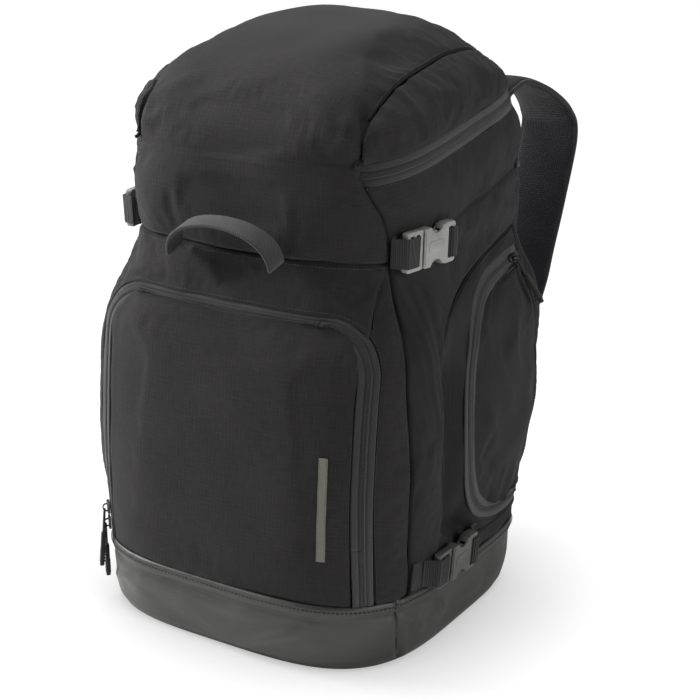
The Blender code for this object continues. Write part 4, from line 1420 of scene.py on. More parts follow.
def make_panels():
    nets = make_nets()
    shape_nets(nets)
    simulate(nets)
    finish_nets(nets)

    flap = cloth_mesh("pocket_flap_cloth", nets["flap"], "ripstop")
    finish_piece(flap, "ripstop", "pocket_flap")
    hinge = Vector(front_point(0, BASE_TOP).tolist())
    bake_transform(flap)

    place(cloth_mesh("front_yoke_cloth", nets["yoke"], "ripstop"), "pack_body", "ripstop", "front_yoke")
    top = cloth_mesh("hood_top_cloth", nets["hood_top"], "ripstop")
    finish_piece(top, "ripstop", "hood_top_panel", "hood_front_panel")
    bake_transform(top)

    for key, piece, body, *nodes in PAIRED_PANELS:
        pair(cloth_mesh(key, nets[key], "ripstop"), piece, body, "ripstop", *nodes)

    door = cloth_mesh("door", nets["door"], "ripstop")
    for word, obj in (("right", door), ("left", mirror(door, "boot_door_cloth_left"))):
        obj.name = f"boot_door_cloth_{word}"
        finish_piece(obj, "ripstop", f"boot_door_{word}")
        sign = 1 if word == "right" else -1
        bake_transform(obj)
    back = cloth_mesh("back_panel_cloth", nets["back"], "ripstop", 0.004)
    place(back, "pack_body", "ripstop", "back_panel")
    return nets


CAMERA_ROLL = 0.417  # degrees
FILL_LIGHT = 0.16
LIGHTS = (
    ("key", (-2.2, -0.75, 1.4), (0, -0.1, 0.3), 0.9, 88),
    ("right", (2.2, -0.45, 1.1), (0.1, 0, 0.3), 0.9, 27),
    ("top", (-0.6, 0.0, 2.4), (0, 0, 0.4), 1.0, 34),
)


def make_camera():
    """At the photo's viewing angle."""
    scene = bpy.context.scene
    data = bpy.data.cameras.new("camera")
    data.lens = 82.8
    data.sensor_width = 36.0
    data.shift_x = 0.0348
    data.shift_y = -0.0021
    camera = bpy.data.objects.new("camera", data)
    scene.collection.objects.link(camera)
    azimuth, elevation, distance = math.radians(32.07), math.radians(18.34), 1.640
    target = Vector((0, 0, 0.247))
    way = Vector((math.sin(azimuth) * math.cos(elevation), -math.cos(azimuth) * math.cos(elevation),
                  math.sin(elevation)))
    camera.location = target + way * distance
    roll = Matrix.Rotation(math.radians(CAMERA_ROLL), 4, way)
    turn = way.to_track_quat("Z", "Y").to_matrix().to_4x4()
    camera.matrix_world = Matrix.Translation(camera.location) @ roll @ turn
    scene.camera = camera
    scene.view_settings.view_transform = "Standard"


def make_light():
    """A white surround that fills the shadows, and three soft lamps."""
    scene = bpy.context.scene
    world = bpy.data.worlds.new("studio")
    world.use_nodes = True
    links, nodes = world.node_tree.links, world.node_tree.nodes
    ray = nodes.new("ShaderNodeLightPath")
    level = nodes.new("ShaderNodeMapRange")
    level.inputs["To Min"].default_value = FILL_LIGHT
    level.inputs["To Max"].default_value = 1.0
    links.new(ray.outputs["Is Camera Ray"], level.inputs["Value"])
    links.new(level.outputs["Result"], nodes["Background"].inputs["Strength"])
    nodes["Background"].inputs["Color"].default_value = (1.0, 1.0, 1.0, 1)
    scene.world = world
    for name, spot, aim, size, power in LIGHTS:
        light = bpy.data.lights.new(name, "AREA")
        light.size = size
        light.energy = power
        obj = bpy.data.objects.new(name, light)
        obj.location = spot
        obj.rotation_euler = (Vector(aim) - Vector(spot)).to_track_quat("-Z", "Y").to_euler()
        scene.collection.objects.link(obj)


def make_floor():
    bm = bmesh.new()
    bmesh.ops.create_grid(bm, x_segments=8, y_segments=8, size=60)
    floor = from_bmesh("floor", bm)
    floor.data.materials.append(pale_floor("studio_floor"))
    floor.location.z = -0.0015


# ---------------------------------------------------------------- zippers
TOOTH_PITCH = 0.0015


def tape_profile(side):
    """Half a zipper: flat woven tape, a groove, and the raised rib over the coil. side is 1 or -1."""
    section = [(0.00020, -0.0009), (0.00020, 0.0006), (0.0007, 0.0010), (0.0022, 0.0010), (0.0027, 0.0006),
               (0.0031, -0.0002), (0.0037, -0.0002), (0.0042, 0.0004), (0.0060, 0.0006), (0.0086, 0.0005),
               (0.0100, 0.0002), (0.0100, -0.0009)]
    return [(side * x, y) for x, y in section]


def teeth(name, path, normals, side, shift):
    """One side's coil: a row of small rounded bars that mesh with the other side's."""
    path, normals = evenly(path, TOOTH_PITCH, normals)
    ahead = unit(np.gradient(path, axis=0))
    out = unit(normals)
    across = np.cross(ahead, out) * side
    section = [(-0.00034, 0.0), (-0.00024, 0.00042), (0.00024, 0.00042), (0.00034, 0.0)]
    stations = (-0.00045, 0.0022)
    points, faces = [], []
    for p, a, o, c in zip(path + ahead * shift * TOOTH_PITCH, ahead, out, across):
        base = len(points)
        for reach in stations:
            for along, high in section:
                points.append(p + c * reach + a * along + o * (0.00085 + high))
        faces += skin_faces(len(stations), len(section), base)
    obj = add_mesh(name, points, faces, "coil")
    fix_normals(obj)
    return obj


def zipper_half(name, path, normals, side, sink=0.0, finish="tape"):
    """Tape with its coil as one piece. side 1 lies to the right of the path seen from outside."""
    path, normals = evenly(path, 0.0025, normals)
    path = path - normals * sink
    tape = sweep(name, path, normals, tape_profile(side), finish)
    coil = teeth(name + "_coil", path, normals, side, 0.5 if side > 0 else 0.0)
    return join(name, [tape, coil])


def pocket_zipper():
    for word, side, low, body in (("body", -1, BASE_TOP + 0.001, "pack_body"),
                                  ("flap", 1, BASE_TOP + 0.060, "pocket_flap")):
        path = zipper_path(0.0, low)
        obj = zipper_half(f"pocket_zipper_{word}", path, outward(path), side, 0.0006)
        place(obj, body, "zipper", f"pocket_zipper_tape_{word}")
    # Below the parked sliders the flap's tape stays with the body, folded under.
    for word, start in (("left", -1), ("right", 1)):
        z = np.linspace(BASE_TOP + 0.001, BASE_TOP + 0.060, 20)
        path = front_point(start * POCKET_HALF, z)
        obj = zipper_half(f"pocket_zipper_foot_{word}", path, outward(path), -start, 0.0006)
        place(obj, "pack_body", "zipper")


def door_zippers():
    line = door_line(0.0, 240)
    foot, head = line[-1].copy(), line[0].copy()
    foot[0] = head[0] = DOOR_HINGE_Y + 0.0004
    line = np.vstack([head, line, foot])
    path = side_point(line[:, 0], line[:, 1])
    for word, side in (("body", 1), ("door", -1)):
        obj = zipper_half(f"door_zipper_{word}", path, outward(path), side, 0.0004, "dark_tape")
        body = "pack_body" if word == "body" else "boot_door_{}"
        pair(obj, "door_zipper_" + word + "_{}", body, "zipper", "door_zipper_tape_" + word + "_{}")


def hood_zipper():
    start = -math.acos((HOOD_SEAM_X / sizes(PLANE_Z)[0]) ** (FRONT_POWER / 2)) - 0.05
    angle = np.concatenate([start + (0.25 - start) * np.linspace(0, 1, 220),
                            np.linspace(0.25, math.pi - 0.25, 220)[1:],
                            (math.pi - 0.25) + (0.25 - start) * np.linspace(0, 1, 220)[1:]])
    path = ring_point(angle)
    run = lengths(path)
    ends = np.minimum(run, run[-1] - run)
    sunk = 0.0042 * (1 - smoothstep(0.004, 0.014, ends))
    ahead = np.gradient(path, axis=0)
    for word, side, body in (("hood", -1, "hood"), ("body", 1, "pack_body")):
        wall = ring_point(angle, -side * TAPE_WIDTH) - path
        normals = unit(np.cross(ahead, wall * -side))
        line = path - normals * sunk[:, None]
        obj = zipper_half(f"hood_zipper_{word}", line, normals, side, 0.0004)
        place(obj, body, "zipper", f"hood_zipper_tape_{word}")


# ---------------------------------------------------------------- sliders and pulls
def local(frame, points):
    """Points of a local frame in the bag's axes."""
    return np.array([(frame @ Vector(p))[:] for p in np.asarray(points, float).tolist()])


def block(name, size, at, frame, finish, ease=0.0008, segments=3, taper=None):
    """A block with rounded edges in a local frame."""
    bm = bmesh.new()
    bmesh.ops.create_cube(bm, size=1)
    for v in bm.verts:
        v.co = Vector([c * s for c, s in zip(v.co, size)])
        if taper and v.co.x < 0:
            v.co.y *= taper
    bmesh.ops.bevel(bm, geom=bm.edges[:], offset=ease, segments=segments, affect="EDGES", profile=0.5)
    bm.transform(frame @ Matrix.Translation(at))
    return from_bmesh(name, bm, finish)


def tube(name, path, radius, finish, sides=10, closed=False):
    path = np.asarray(path, float)
    ahead = unit(np.gradient(path, axis=0))
    helper = np.where(np.abs(ahead[:, 2:]) < 0.9, np.array([[0.0, 0.0, 1.0]]), np.array([[1.0, 0.0, 0.0]]))
    normals = unit(helper - ahead * np.sum(helper * ahead, axis=1, keepdims=True))
    return sweep(name, path, normals, round_profile(radius, sides), finish, closed)


def side_frame(y, z, lift, climb=0.0, side=1):
    """Local frame on a side face: x to the rear, z outwards, y up on the right and down on the left."""
    reach = 0.004
    rise = reach * math.tan(climb)
    at = lambda b, c: Vector(side_point(b, c).tolist())
    here = at(y, z)
    rear = (at(y + reach, z + rise) - at(y - reach, z - rise)).normalized()
    up = at(y, z + reach) - at(y, z - reach)
    out = rear.cross(up).normalized()
    up = out.cross(rear)
    here += out * lift
    for vector in (here, rear, out, up):
        vector.x *= side
    made = Matrix((rear, up * side, out)).transposed().to_4x4()
    made.translation = here
    return made


def front_leg_frame(z):
    """Local frame on the pocket zipper's left leg: x up, z outwards."""
    at = lambda x, h: Vector(front_point(x, h).tolist())
    here = at(-POCKET_HALF, z)
    up = (at(-POCKET_HALF, z + 0.01) - at(-POCKET_HALF, z - 0.01)).normalized()
    across = at(-POCKET_HALF + 0.004, z) - at(-POCKET_HALF - 0.004, z)
    out = across.cross(up).normalized()
    side = out.cross(up).normalized()
    made = Matrix((up, side, out)).transposed().to_4x4()
    made.translation = here + out * 0.0008
    return made


def slider_body(name, frame):
    """Zipper slider: a waisted shell over the coil with a bridge for the pull."""
    half_outline = [(-0.0068, 0.0026), (-0.0045, 0.0034), (-0.0010, 0.0038), (0.0030, 0.0046),
                    (0.0062, 0.0050), (0.0068, 0.0030)]
    ring = half_outline + [(x, -y) for x, y in half_outline[::-1]]
    bm, high = prism(ring, 0.0004, 0.0030)
    top = [e for e in bm.edges if all(v in high for v in e.verts)]
    bmesh.ops.bevel(bm, geom=top, offset=0.0008, segments=3, affect="EDGES", profile=0.5)
    bm.transform(frame)
    body = from_bmesh(name, bm, "metal")
    turn = np.linspace(0, math.pi, 12)
    arch = np.stack([0.0040 * np.cos(turn), np.zeros(12), 0.0028 + 0.0044 * np.sin(turn) ** 0.6], axis=1)
    path = local(frame, arch)
    normals = np.repeat(np.array(frame.to_3x3().col[1])[None], len(path), axis=0)
    bridge = sweep(name + "_bridge", path, normals, band_profile(0.0006, 0.0022, 0.0003), "metal")
    return join(name, [body, bridge])


def cord_pull(name, frame, start, direction, length):
    """A cord loop through the bridge that ends in a moulded, tapering tab with grip ribs."""
    start, direction = Vector(start), Vector(direction).normalized()
    out = Vector((0, 0, 1))
    side = out.cross(direction).normalized()
    tab_long, cord_long = 0.62 * length, 0.44 * length
    loop = []
    for k in range(26):
        turn = 2 * math.pi * k / 25
        along = 0.5 * cord_long * (1 - math.cos(turn)) - 0.0010
        loop.append(start + direction * along + side * 0.0016 * math.sin(turn))
    cord = tube(name + "_cord", local(frame, loop), 0.00120, "webbing", 10)
    centre = start + direction * (cord_long - 0.003 + tab_long / 2)
    axes = Matrix((-direction, -side, out)).transposed().to_4x4()
    axes.translation = centre
    parts = [cord, block(name + "_tab", (tab_long, 0.0062, 0.0046), (0, 0, 0), frame @ axes,
                         "black_plastic", 0.0014, 3, 0.78)]
    for k in range(5):
        at = (-tab_long * 0.36 + k * 0.0032, 0, 0)
        parts.append(block(f"{name}_rib_{k}", (0.0011, 0.0056, 0.0054), at, frame @ axes,
                           "black_plastic", 0.0004, 2))
    return join(name, parts)


HOOD_SLIDERS = (("front", -0.009), ("rear", 0.009))
POCKET_SLIDERS = (("lower", 0.082, 0.0), ("upper", 0.099, -0.0095))
DOOR_SLIDER = (0.084, 0.3466)
BRIDGE_HEIGHT = 0.0060


def make_sliders():
    for word, side in (("right", 1), ("left", -1)):
        spot = side_frame(*DOOR_SLIDER, 0.0010, side=side)
        place(slider_body(f"door_slider_{word}_shell", spot), f"door_slider_{word}", "metal",
              f"door_slider_{word}")
        pull = cord_pull(f"door_pull_{word}_cord", spot, (0, 0, BRIDGE_HEIGHT), (0.10, -side, 0.11), 0.052)
        place(pull, f"door_pull_{word}", "webbing", f"door_pull_{word}")
    for word, y in HOOD_SLIDERS:
        spot = side_frame(y, float(plane_z(y)), 0.0014, math.atan(PLANE_SLOPE), side=-1)
        place(slider_body(f"hood_slider_{word}_shell", spot), f"hood_slider_{word}", "metal",
              f"hood_slider_{word}")
        pull = cord_pull(f"hood_pull_{word}_cord", spot, (0, 0, BRIDGE_HEIGHT), (0, 1, 0), 0.044)
        place(pull, f"hood_pull_{word}", "webbing", f"hood_pull_{word}")
    for word, z, aside in POCKET_SLIDERS:
        spot = front_leg_frame(z)
        place(slider_body(f"pocket_slider_{word}_shell", spot), f"pocket_slider_{word}", "metal",
              f"pocket_slider_{word}")
        way = (-1, aside * 16 + 0.04, 0.03 - aside * 11)
        pull = cord_pull(f"pocket_pull_{word}_cord", spot, (-0.002, aside * 0.15, BRIDGE_HEIGHT), way, 0.059)
        place(pull, f"pocket_pull_{word}", "webbing", f"pocket_pull_{word}")


# ---------------------------------------------------------------- buckles and compression straps
def flat_shape(name, line, low, high, frame, finish, ease=0.0007, holes=()):
    """A flat moulded part: a closed outline raised between two heights, with rounded rims and holes."""
    def solid(points, bottom, top, rim):
        bm, _ = prism(points, bottom, top)
        if rim:
            rims = [e for e in bm.edges if abs(e.verts[0].co.z - e.verts[1].co.z) < 1e-7]
            bmesh.ops.bevel(bm, geom=rims, offset=rim, segments=2, affect="EDGES", profile=0.5)
        return from_bmesh(name, bm)

    obj = solid(line, low, high, ease)
    for hole, bottom, top in holes:
        cutter = solid(hole, bottom, top, 0)
        cut = obj.modifiers.new("hole", "BOOLEAN")
        cut.object = cutter
        apply_modifiers(obj)
        bpy.data.objects.remove(cutter)
    obj.data.transform(frame)
    obj.data.shade_smooth()
    obj.data.set_sharp_from_angle(angle=math.radians(32))
    obj.data.materials.clear()
    obj.data.materials.append(MATERIALS[finish])
    return obj


def rounded_box(x0, x1, half, corner, steps=5):
    """Closed outline of a rectangle with round corners."""
    line = []
    for cx, cy, start in ((x1 - corner, half - corner, 0), (x0 + corner, half - corner, 90),
                          (x0 + corner, -half + corner, 180), (x1 - corner, -half + corner, 270)):
        for k in range(steps + 1):
            turn = math.radians(start + 90 * k / steps)
            line.append((cx + corner * math.cos(turn), cy + corner * math.sin(turn)))
    return line


def socket_outline():
    """The case seen flat: a square mouth, deep finger notches and a flared bar at the rear."""
    notch_x, notch_y, radius = 0.0185, 0.0222, 0.0096
    upper = [(0.0, 0.0168), (0.0012, 0.0182), (0.0085, 0.0185)]
    for k in range(13):
        turn = math.radians(203 + (337 - 203) * k / 12)
        upper.append((notch_x + radius * math.cos(turn), notch_y + radius * math.sin(turn)))
    upper += [(0.0300, 0.0182), (0.0320, 0.0194), (0.0440, 0.0190), (0.0460, 0.0172)]
    return upper + [(x, -y) for x, y in upper[::-1]]


def make_socket(name, frame, finish):
    slot = rounded_box(0.0350, 0.0418, 0.0148, 0.0012)
    mouth = rounded_box(-0.002, 0.030, 0.0146, 0.0008)
    body = flat_shape(name, socket_outline()[::-1], 0.0, 0.0100, frame, finish, 0.0011,
                      ((slot, -0.01, 0.02), (mouth, 0.0017, 0.0083)))
    bar = rounded_box(0.0008, 0.0028, 0.0162, 0.0006)
    rib = rounded_box(0.0060, 0.0300, 0.0058, 0.0040)
    lip = flat_shape(name + "_lip", bar, 0.0098, 0.0106, frame, finish, 0.0003)
    spine = flat_shape(name + "_spine", rib, 0.0098, 0.0104, frame, finish, 0.0004)
    return join(name, [body, lip, spine])


def make_plug(name, frame, finish):
    slots = [(rounded_box(low, low + 0.0050, 0.0150, 0.0010), -0.01, 0.02) for low in (-0.0196, -0.0112)]
    plate = rounded_box(-0.0232, -0.0006, 0.0186, 0.0026)[::-1]
    base = flat_shape(name, plate, 0.0010, 0.0082, frame, finish, 0.0010, slots)
    prongs = []
    for k, sign in enumerate((-1, 1)):
        inner = [(-0.002, 0.0096), (0.0160, 0.0092), (0.0226, 0.0100)]
        outer = [(0.0232, 0.0124), (0.0205, 0.0139), (0.0130, 0.0136), (-0.002, 0.0138)]
        line = [(x, sign * y) for x, y in inner + outer]
        prongs.append(flat_shape(f"{name}_prong_{k}", line if sign > 0 else line[::-1], 0.0024, 0.0072, frame,
                                 finish, 0.0006))
    tongue = flat_shape(name + "_tongue", rounded_box(-0.002, 0.0190, 0.0024, 0.0012), 0.0028, 0.0068, frame,
                        finish, 0.0006)
    return join(name, [base, *prongs, tongue])


def rib_profiles(path, half, thick, rib):
    """Sections of woven webbing along a path, thicker at each cross rib."""
    profile = np.repeat(np.array(band_profile(half, thick, 0.0006))[None], len(path), axis=0)
    wave = rib * np.sin(2 * math.pi * lengths(path) / RIB_PITCH)
    profile[..., 1] += np.sign(profile[..., 1]) * wave[:, None]
    return profile


def strap_piece(name, z, ends, stand, spot=None, route=()):
    """Ribbed webbing along the side face. route: (x, height, hold) in the buckle's frame, hold 0 to 1."""
    y = np.arange(ends[0], ends[1], 0.00048)
    path = side_point(y, np.full_like(y, z))
    normals = outward(path)
    path = path + normals * stand
    if spot:
        back = spot.inverted()
        here = local(back, path)
        x, height, hold = np.array(route).T
        share = np.interp(here[:, 0], x, hold)
        here[:, 2] = here[:, 2] * (1 - share) + np.interp(here[:, 0], x, height) * share
        path = local(spot, here)
    return sweep(name, path, normals, rib_profiles(path, WEB_WIDTH / 2, 0.0018, 0.00022), "webbing")


# Webbing routes as (x, height, hold) in the buckle's frame: over the plug, and round the rear bar.
PLUG_ROUTE = ((-0.060, 0.0020, 0.0), (-0.0320, 0.0020, 0.0), (-0.0262, 0.0048, 1.0), (-0.0246, 0.0086, 1.0),
              (-0.0232, 0.0096, 1.0), (-0.0100, 0.0098, 1.0), (-0.0078, 0.0092, 1.0), (-0.0066, 0.0060, 1.0),
              (0.010, 0.0060, 1.0))
BAR_ROUTE = ((0.020, 0.0040, 1.0), (0.0362, 0.0046, 1.0), (0.0385, 0.0100, 1.0), (0.0405, 0.0118, 1.0),
             (0.0455, 0.0118, 1.0), (0.0482, 0.0085, 1.0), (0.0500, 0.0050, 1.0), (0.0600, 0.0, 0.0),
             (0.0900, 0.0, 0.0))


def make_buckles():
    levels = (("upper", UPPER_STRAP, "buckle"), ("lower", LOWER_STRAP, "buckle_painted_shade"))
    for level, (z, mouth), finish in levels:
        middle = 0.012
        spot = side_frame(mouth + middle, z, 0.0044)
        spot.translation -= spot.to_3x3() @ Vector((middle, 0, 0))
        socket = make_socket(f"{level}_socket", spot, finish)
        pair(socket, level + "_buckle_case_{}", "pack_body", "buckle", level + "_buckle_socket_{}")
        plug = make_plug(f"{level}_plug", spot, finish)
        for word, obj in (("left", mirror(plug, f"{level}_buckle_tongue_left")), ("right", plug)):
            obj.name = f"{level}_buckle_tongue_{word}"
            place(obj, f"{level}_buckle_plug_{word}", "buckle", f"{level}_buckle_plug_{word}")
        start = float(read(SEAM, z)) + 0.001
        under = strap_piece(f"{level}_web", z, (start, mouth + 0.004), 0.0024)
        loop_start = max(start - 0.003, mouth - 0.034)
        over = strap_piece(f"{level}_loop", z, (loop_start, mouth - 0.0062), 0.0044, spot, PLUG_ROUTE)
        bar = strap_piece(f"{level}_anchor", z, (mouth + 0.0362, mouth + 0.068), 0.0012, spot, BAR_ROUTE)
        pair(over, level + "_plug_loop_{}", level + "_buckle_plug_{}", "webbing")
        web = join(f"{level}_web", [under, bar])
        pair(web, level + "_strap_web_{}", "pack_body", "webbing", level + "_strap_{}")


# ---------------------------------------------------------------- handle and shoulder straps
def make_handle():
    """Twill webbing loop, folded double in the grip, sewn into the hood seam."""
    lean = math.radians(75)
    rise = Vector((0, -math.cos(lean), math.sin(lean)))
    outwards = Vector((0, -math.sin(lean), -math.cos(lean)))
    low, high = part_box("front_handle")
    half_span = (high.x - low.x) / 2 - 0.001
    foot = Vector((0, float(read(FRONT_Y, HOOD_SEAM)) - 0.002, HOOD_SEAM)) + outwards * 0.0140
    height = 0.037
    turn = np.linspace(0, math.pi, 90)
    swing = np.sin(turn) ** 0.8
    path = (np.array(foot)[None] + np.array([1.0, 0, 0]) * (-half_span * np.cos(turn))[:, None]
            + np.array(rise) * (height * swing)[:, None])
    ahead = unit(np.gradient(path, axis=0))
    normals = np.cross(ahead, np.array(outwards))
    profile = np.repeat(np.array(band_profile(0.0122, 0.0030, 0.0010))[None], len(path), axis=0)
    pinch = 1 - 0.16 * bump(turn, math.pi / 2, 0.9)
    profile[..., 0] *= pinch[:, None]
    profile[..., 1] += 0.0010 * np.cos(profile[..., 0] / 0.0122 * math.pi / 2)
    handle = sweep("front_handle_loop", path, normals, profile, "handle")
    side = np.cross(ahead, unit(normals))
    rows = [stitches("handle_stitch", path + side * off * pinch[:, None] + unit(normals) * 0.0022, normals,
                     0.0034, 0.0024, 0.0003) for off in (-0.0095, 0.0095)]
    place(handle, "front_handle", "webbing", "front_handle")
    place(join("front_handle_stitching", rows), "front_handle", "webbing")


def make_shoulder_straps():
    """Padded straps: black face, mesh underside and bound edges, from the yoke over the top and down."""
    root = Vector((0.082, float(back_y(0.082, 0.470)) + 0.002, 0.470))
    path = spline([tuple(root), *STRAP_PATH], 130)
    run = lengths(path)
    share = run / run[-1]
    widening, tapering = smoothstep(0.03, 0.42, share), smoothstep(0.74, 1.0, share)
    half = STRAP_HALF * (0.46 + 0.54 * widening) * (1 - 0.45 * tapering)
    half = np.where(share < 0.06, 0.015, half)
    ahead = unit(np.gradient(path, axis=0))
    across = np.zeros_like(path)
    across[:, 0] = 1
    normals = np.cross(across, ahead)
    swell = 0.45 + 0.55 * smoothstep(0.02, 0.12, share) * (1 - smoothstep(0.90, 1.0, share))
    count = 26
    turn = np.linspace(0, math.pi, count)
    bend = np.cos(turn)
    for word, sign, finish in (("face", 1, "ripstop"), ("underside", -1, "mesh")):
        top = np.stack([bend[None] * (half[:, None] - 0.001),
                        sign * (STRAP_THICK / 2) * swell[:, None] * np.sin(turn)[None] ** 0.45], axis=-1)
        level = np.full((len(path), count), 0.0002 * sign)
        base = np.stack([bend[::-1][None] * (half[:, None] - 0.001), level], axis=-1)
        quilt = 1 - 0.12 * np.cos(2 * math.pi * run / 0.05)[:, None] * (sign < 0)
        top[..., 1] *= quilt
        obj = sweep(f"strap_{word}", path, normals, np.concatenate([top, base], axis=1), finish)
        blend_pair(obj, f"shoulder_strap_{word}" + "_{}", "mesh", "shoulder_strap_{}" if sign > 0 else
                   "strap_yoke_{}")
    side = np.cross(ahead, unit(normals))
    edges = [sweep("strap_edge", path + side * (sign * (half - 0.0012))[:, None], normals,
                   band_profile(0.0030, 0.0052, 0.0018), "binding") for sign in (-1, 1)]
    blend_pair(join("strap_binding", edges), "shoulder_strap_binding_{}", "mesh")
    lines = [path + side * (sign * (half - 0.0030))[:, None] + unit(normals) * level
             for sign in (-1, 1) for level in (-0.0030, 0.0030)]
    rows = [stitches("strap_stitch", line, normals, 0.0036, 0.0024, 0.0003) for line in lines]
    blend_pair(join("strap_stitching", rows), "shoulder_strap_stitching_{}", "mesh")
    make_strap_tail()


def blend_pair(obj, base, slot, *nodes):
    """Both straps as a right-hand piece and its mirror, each hiding its frame nodes, with its placement baked
    into the mesh.
    """
    left = mirror(obj, base.format("left"))
    obj.name = base.format("right")
    for word, made, sign in (("right", obj, 1), ("left", left, -1)):
        finish_piece(made, slot, *[n.format(word) for n in nodes])
        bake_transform(made)


def make_strap_tail():
    """Ladder adjuster at the padded end and the webbing down to the base."""
    for word in ("right", "left"):
        lock = frame["nodes"][f"strap_adjuster_{word}"]
        soften(lock, 0.0007)
        give(lock, "black_plastic")
    foot = Vector(STRAP_PATH[-1])
    anchor = Vector((0.126, 0.1360, 0.058))
    way = (anchor - foot).normalized()
    start = foot + way * 0.0275
    path = np.array([tuple(start + (anchor - start) * t) for t in np.linspace(0, 1.0, 240)])
    lead = np.array([tuple(foot + way * (0.006 + 0.026 * t)) for t in np.linspace(0, 1, 60)])
    side = Vector((1, 0, 0))
    side = (side - way * side.dot(way)).normalized()
    out = np.array(side.cross(way).normalized())
    lead = lead + out * (0.0046 * np.sin(np.linspace(0, math.pi, 60)) ** 0.7)[:, None]
    pieces = []
    for line in (path, lead):
        normals = np.repeat(out[None], len(line), axis=0)
        pieces.append(sweep("tail", line, normals, rib_profiles(line, 0.0118, 0.0020, 0.00015), "webbing"))
    tail = join("shoulder_strap_tail_right", pieces)
    for obj, word, sign in ((mirror(tail, "shoulder_strap_tail_left"), "left", -1), (tail, "right", 1)):
        finish_piece(obj, "webbing", f"strap_webbing_{word}")
        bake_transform(obj)


def give(obj, finish):
    """A frame node keeps its shape and takes a detailed material."""
    obj.data.materials.clear()
    obj.data.materials.append(MATERIALS[finish])


def soften(obj, width):
    edge = obj.modifiers.new("Eased edges", "BEVEL")
    edge.width = width
    edge.segments = 3
    edge.limit_method = "ANGLE"
    edge.angle_limit = math.radians(40)


# ---------------------------------------------------------------- seams, label and inside
def make_seams(nets):
    """Thread along the seams. Right-hand rows are mirrored."""
    def row(net, edge, inset, lift=0.0002):
        path, normal = nets[net].line(edge, inset)
        return stitches("row", path + normal * lift, normal)

    middle = [row("yoke", "low", 0.0030), row("yoke", "high", 0.0060)]
    place(join("yoke_stitching", middle), "pack_body", "ripstop")
    rows = [row("flap", "left", 0.0028), row("flap", "high", 0.0028), row("flap", "right", 0.0028)]
    place(join("flap_stitching", rows), "pocket_flap", "ripstop")
    rows = [row("gusset", "left", 0.0028), row("gusset", "right", 0.0048), row("collar", "high", 0.0028),
            row("collar", "low", 0.0024), row("surround", "low", 0.0028), row("surround", "high", 0.0040),
            row("side", "low", 0.0044)]
    pair(join("side_rows", rows), "side_stitching_{}", "pack_body", "ripstop")
    rows = [row("hood_side", "low", 0.0028), row("hood_side", "high", 0.0046)]
    pair(join("hood_rows", rows), "hood_side_stitching_{}", "hood", "ripstop")
    rows = [row("door", "left", 0.0028)]
    pair(join("door_rows", rows), "door_stitching_{}", "boot_door_{}", "ripstop")
    for edge in ("left", "right"):
        path, normal = nets["hood_top"].line(edge, 0.0040)
        keep = path[:, 2] > 0.500
        made = stitches("hood_edge", path[keep], normal[keep])
        place(join(f"hood_top_stitching_{edge}", [made]), "hood", "ripstop")
    path, normal = nets["hood_top"].line("low", 0.0055)
    place(stitches("hood_front_stitching", path, normal), "pack_body", "ripstop")


def make_label(nets):
    """A plain woven strip, sewn upright on the front pocket, in place of lettering."""
    centre_x, half, low, high = 0.1155, 0.0042, 0.116, 0.216
    net = nets["flap"]
    z = np.linspace(low, high, 60)
    path, normals = surface_line(net, centre_x, z)
    profile = band_profile(half, 0.0009, 0.0003)
    strip = sweep("pocket_label", path + normals * 0.0007, normals, profile, "label")
    side = np.cross(unit(np.gradient(path, axis=0)), unit(normals))
    rows = [stitches("label_stitch", path + side * off + normals * 0.0012, normals, 0.0026, 0.0017, 0.00022)
            for off in (-half + 0.0008, half - 0.0008)]
    place(strip, "pocket_flap", "ripstop")
    place(join("pocket_label_stitching", rows), "pocket_flap", "ripstop")


def surface_line(net, x, heights):
    """Points of a net at one width and these heights."""
    points, normals = net.points.reshape(-1, 3), net.normal.reshape(-1, 3)
    made, ups = [], []
    for z in heights:
        near = np.hypot(points[:, 0] - x, points[:, 2] - z)
        pick = np.argsort(near)[:6]
        weight = 1 / (near[pick] + 1e-5)
        weight /= weight.sum()
        made.append([x, float(points[pick, 1] @ weight), z])
        ups.append(normals[pick].T @ weight)
    return np.array(made), unit(np.array(ups))


def make_wing_tab():
    """Small folded tab sewn at the rear end of the side's folded edge."""
    y = 0.118
    spot = side_frame(y, float(wing_z(y)), 0.0022)
    tab = block("wing_tab", (0.013, 0.0052, 0.0030), (0, 0, 0), spot, "webbing", 0.0010, 3)
    pair(tab, "side_tab_{}", "pack_body", "webbing")


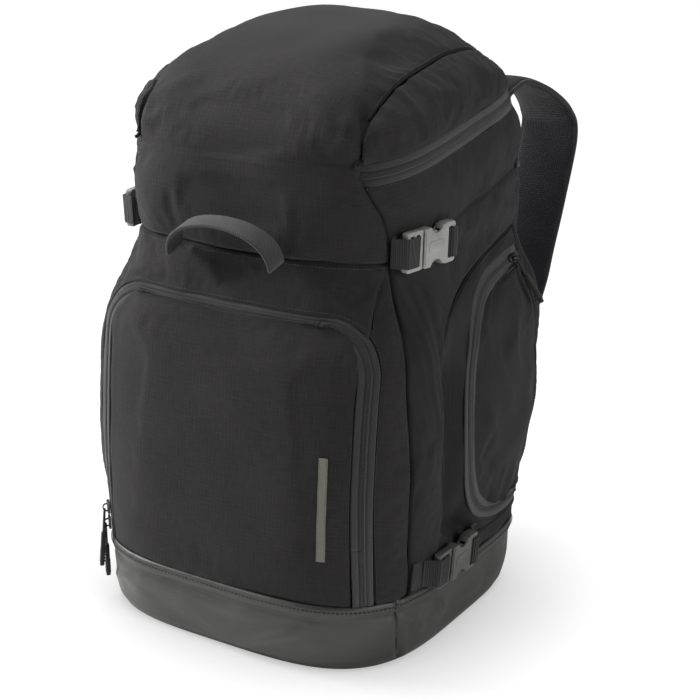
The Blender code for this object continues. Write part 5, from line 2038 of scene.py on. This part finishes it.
def make_body_lining():
    """Inner cloth of the body, open at the doors and at the pocket."""
    def surface(u, v):
        turn = -math.pi / 2 + 2 * math.pi * (u - 0.5)
        high = ring_point(turn[0], -0.012)[:, 2]
        z = BASE_TOP - 0.012 + (high - BASE_TOP + 0.012) * v
        return outline(z, turn)

    net = Net(surface, 300, 96, ring=True)
    net.lift(np.full(net.left.shape, -LINING_DEPTH))
    points, faces = sheet(net.points)
    x, y, z = points.T
    away = np.stack([y, z], axis=1) - np.array(DOOR_MIDDLE)
    seam = polar(surround_line())
    in_door = np.hypot(*away.T) < seam(np.arctan2(away[:, 1], away[:, 0])) + 0.003
    in_door &= (np.abs(x) > 0.10) & (y < DOOR_HINGE_Y + 0.001)
    in_pocket = (y < -0.10) & (np.abs(x) < zipper_x(z, 0.005)) & (z < POCKET_TOP + 0.005)
    gone = in_door | in_pocket
    kept = [face for face in faces if not gone[list(face)].any()]
    across = net.left - net.left[:, net.left.shape[1] // 2, None]
    obj = add_mesh("body_lining", points, kept, "lining", np.stack([across, net.low], axis=-1))
    weld(obj)
    with editing(obj) as bm:
        bmesh.ops.delete(bm, geom=[v for v in bm.verts if not v.link_faces], context="VERTS")
    shell = obj.modifiers.new("Thickness", "SOLIDIFY")
    shell.thickness = 0.0008
    shell.offset = -1
    apply_modifiers(obj)
    place(obj, "pack_body", "ripstop")


def make_hood_lining():
    """Inner cloth of the hood, a little below the shell."""
    def surface(u, v):
        turn = -math.pi / 2 + 2 * math.pi * (u - 0.5)
        ring = ring_point(turn[0], 0.003)
        centre = np.array([0, HOOD_CENTRE_Y])
        share = 0.975 * np.sin((1 - v) * math.pi / 2) + 0.0005
        flat = centre + (ring[None, :, :2] - centre) * share[..., None]
        high = hood_height(flat[..., 0], flat[..., 1], 0.003) - 0.0065
        foot = ring[None, :, 2] + np.zeros_like(high)
        high = np.where(v == 0, foot, high)
        return np.stack([flat[..., 0], flat[..., 1], high], axis=-1)

    net = Net(surface, 160, 40, ring=True)
    place(cloth_mesh("hood_lining", net, "lining", 0.0008), "hood", "ripstop")


def make_inside():
    """The boot compartment liners and the wall behind the pocket keep their shapes, softened."""
    for name in ("boot_liner_right", "boot_liner_left", "pocket_back_wall"):
        node = frame["nodes"][name]
        give(node, "lining_plain")
        soften(node, 0.0010)


def main():
    make_base()
    nets = make_panels()
    make_seams(nets)
    make_label(nets)
    make_wing_tab()
    pocket_zipper()
    door_zippers()
    hood_zipper()
    make_sliders()
    make_buckles()
    make_handle()
    make_shoulder_straps()
    make_inside()
    make_hood_lining()
    make_body_lining()
    make_camera()
    make_light()
    make_floor()


main()
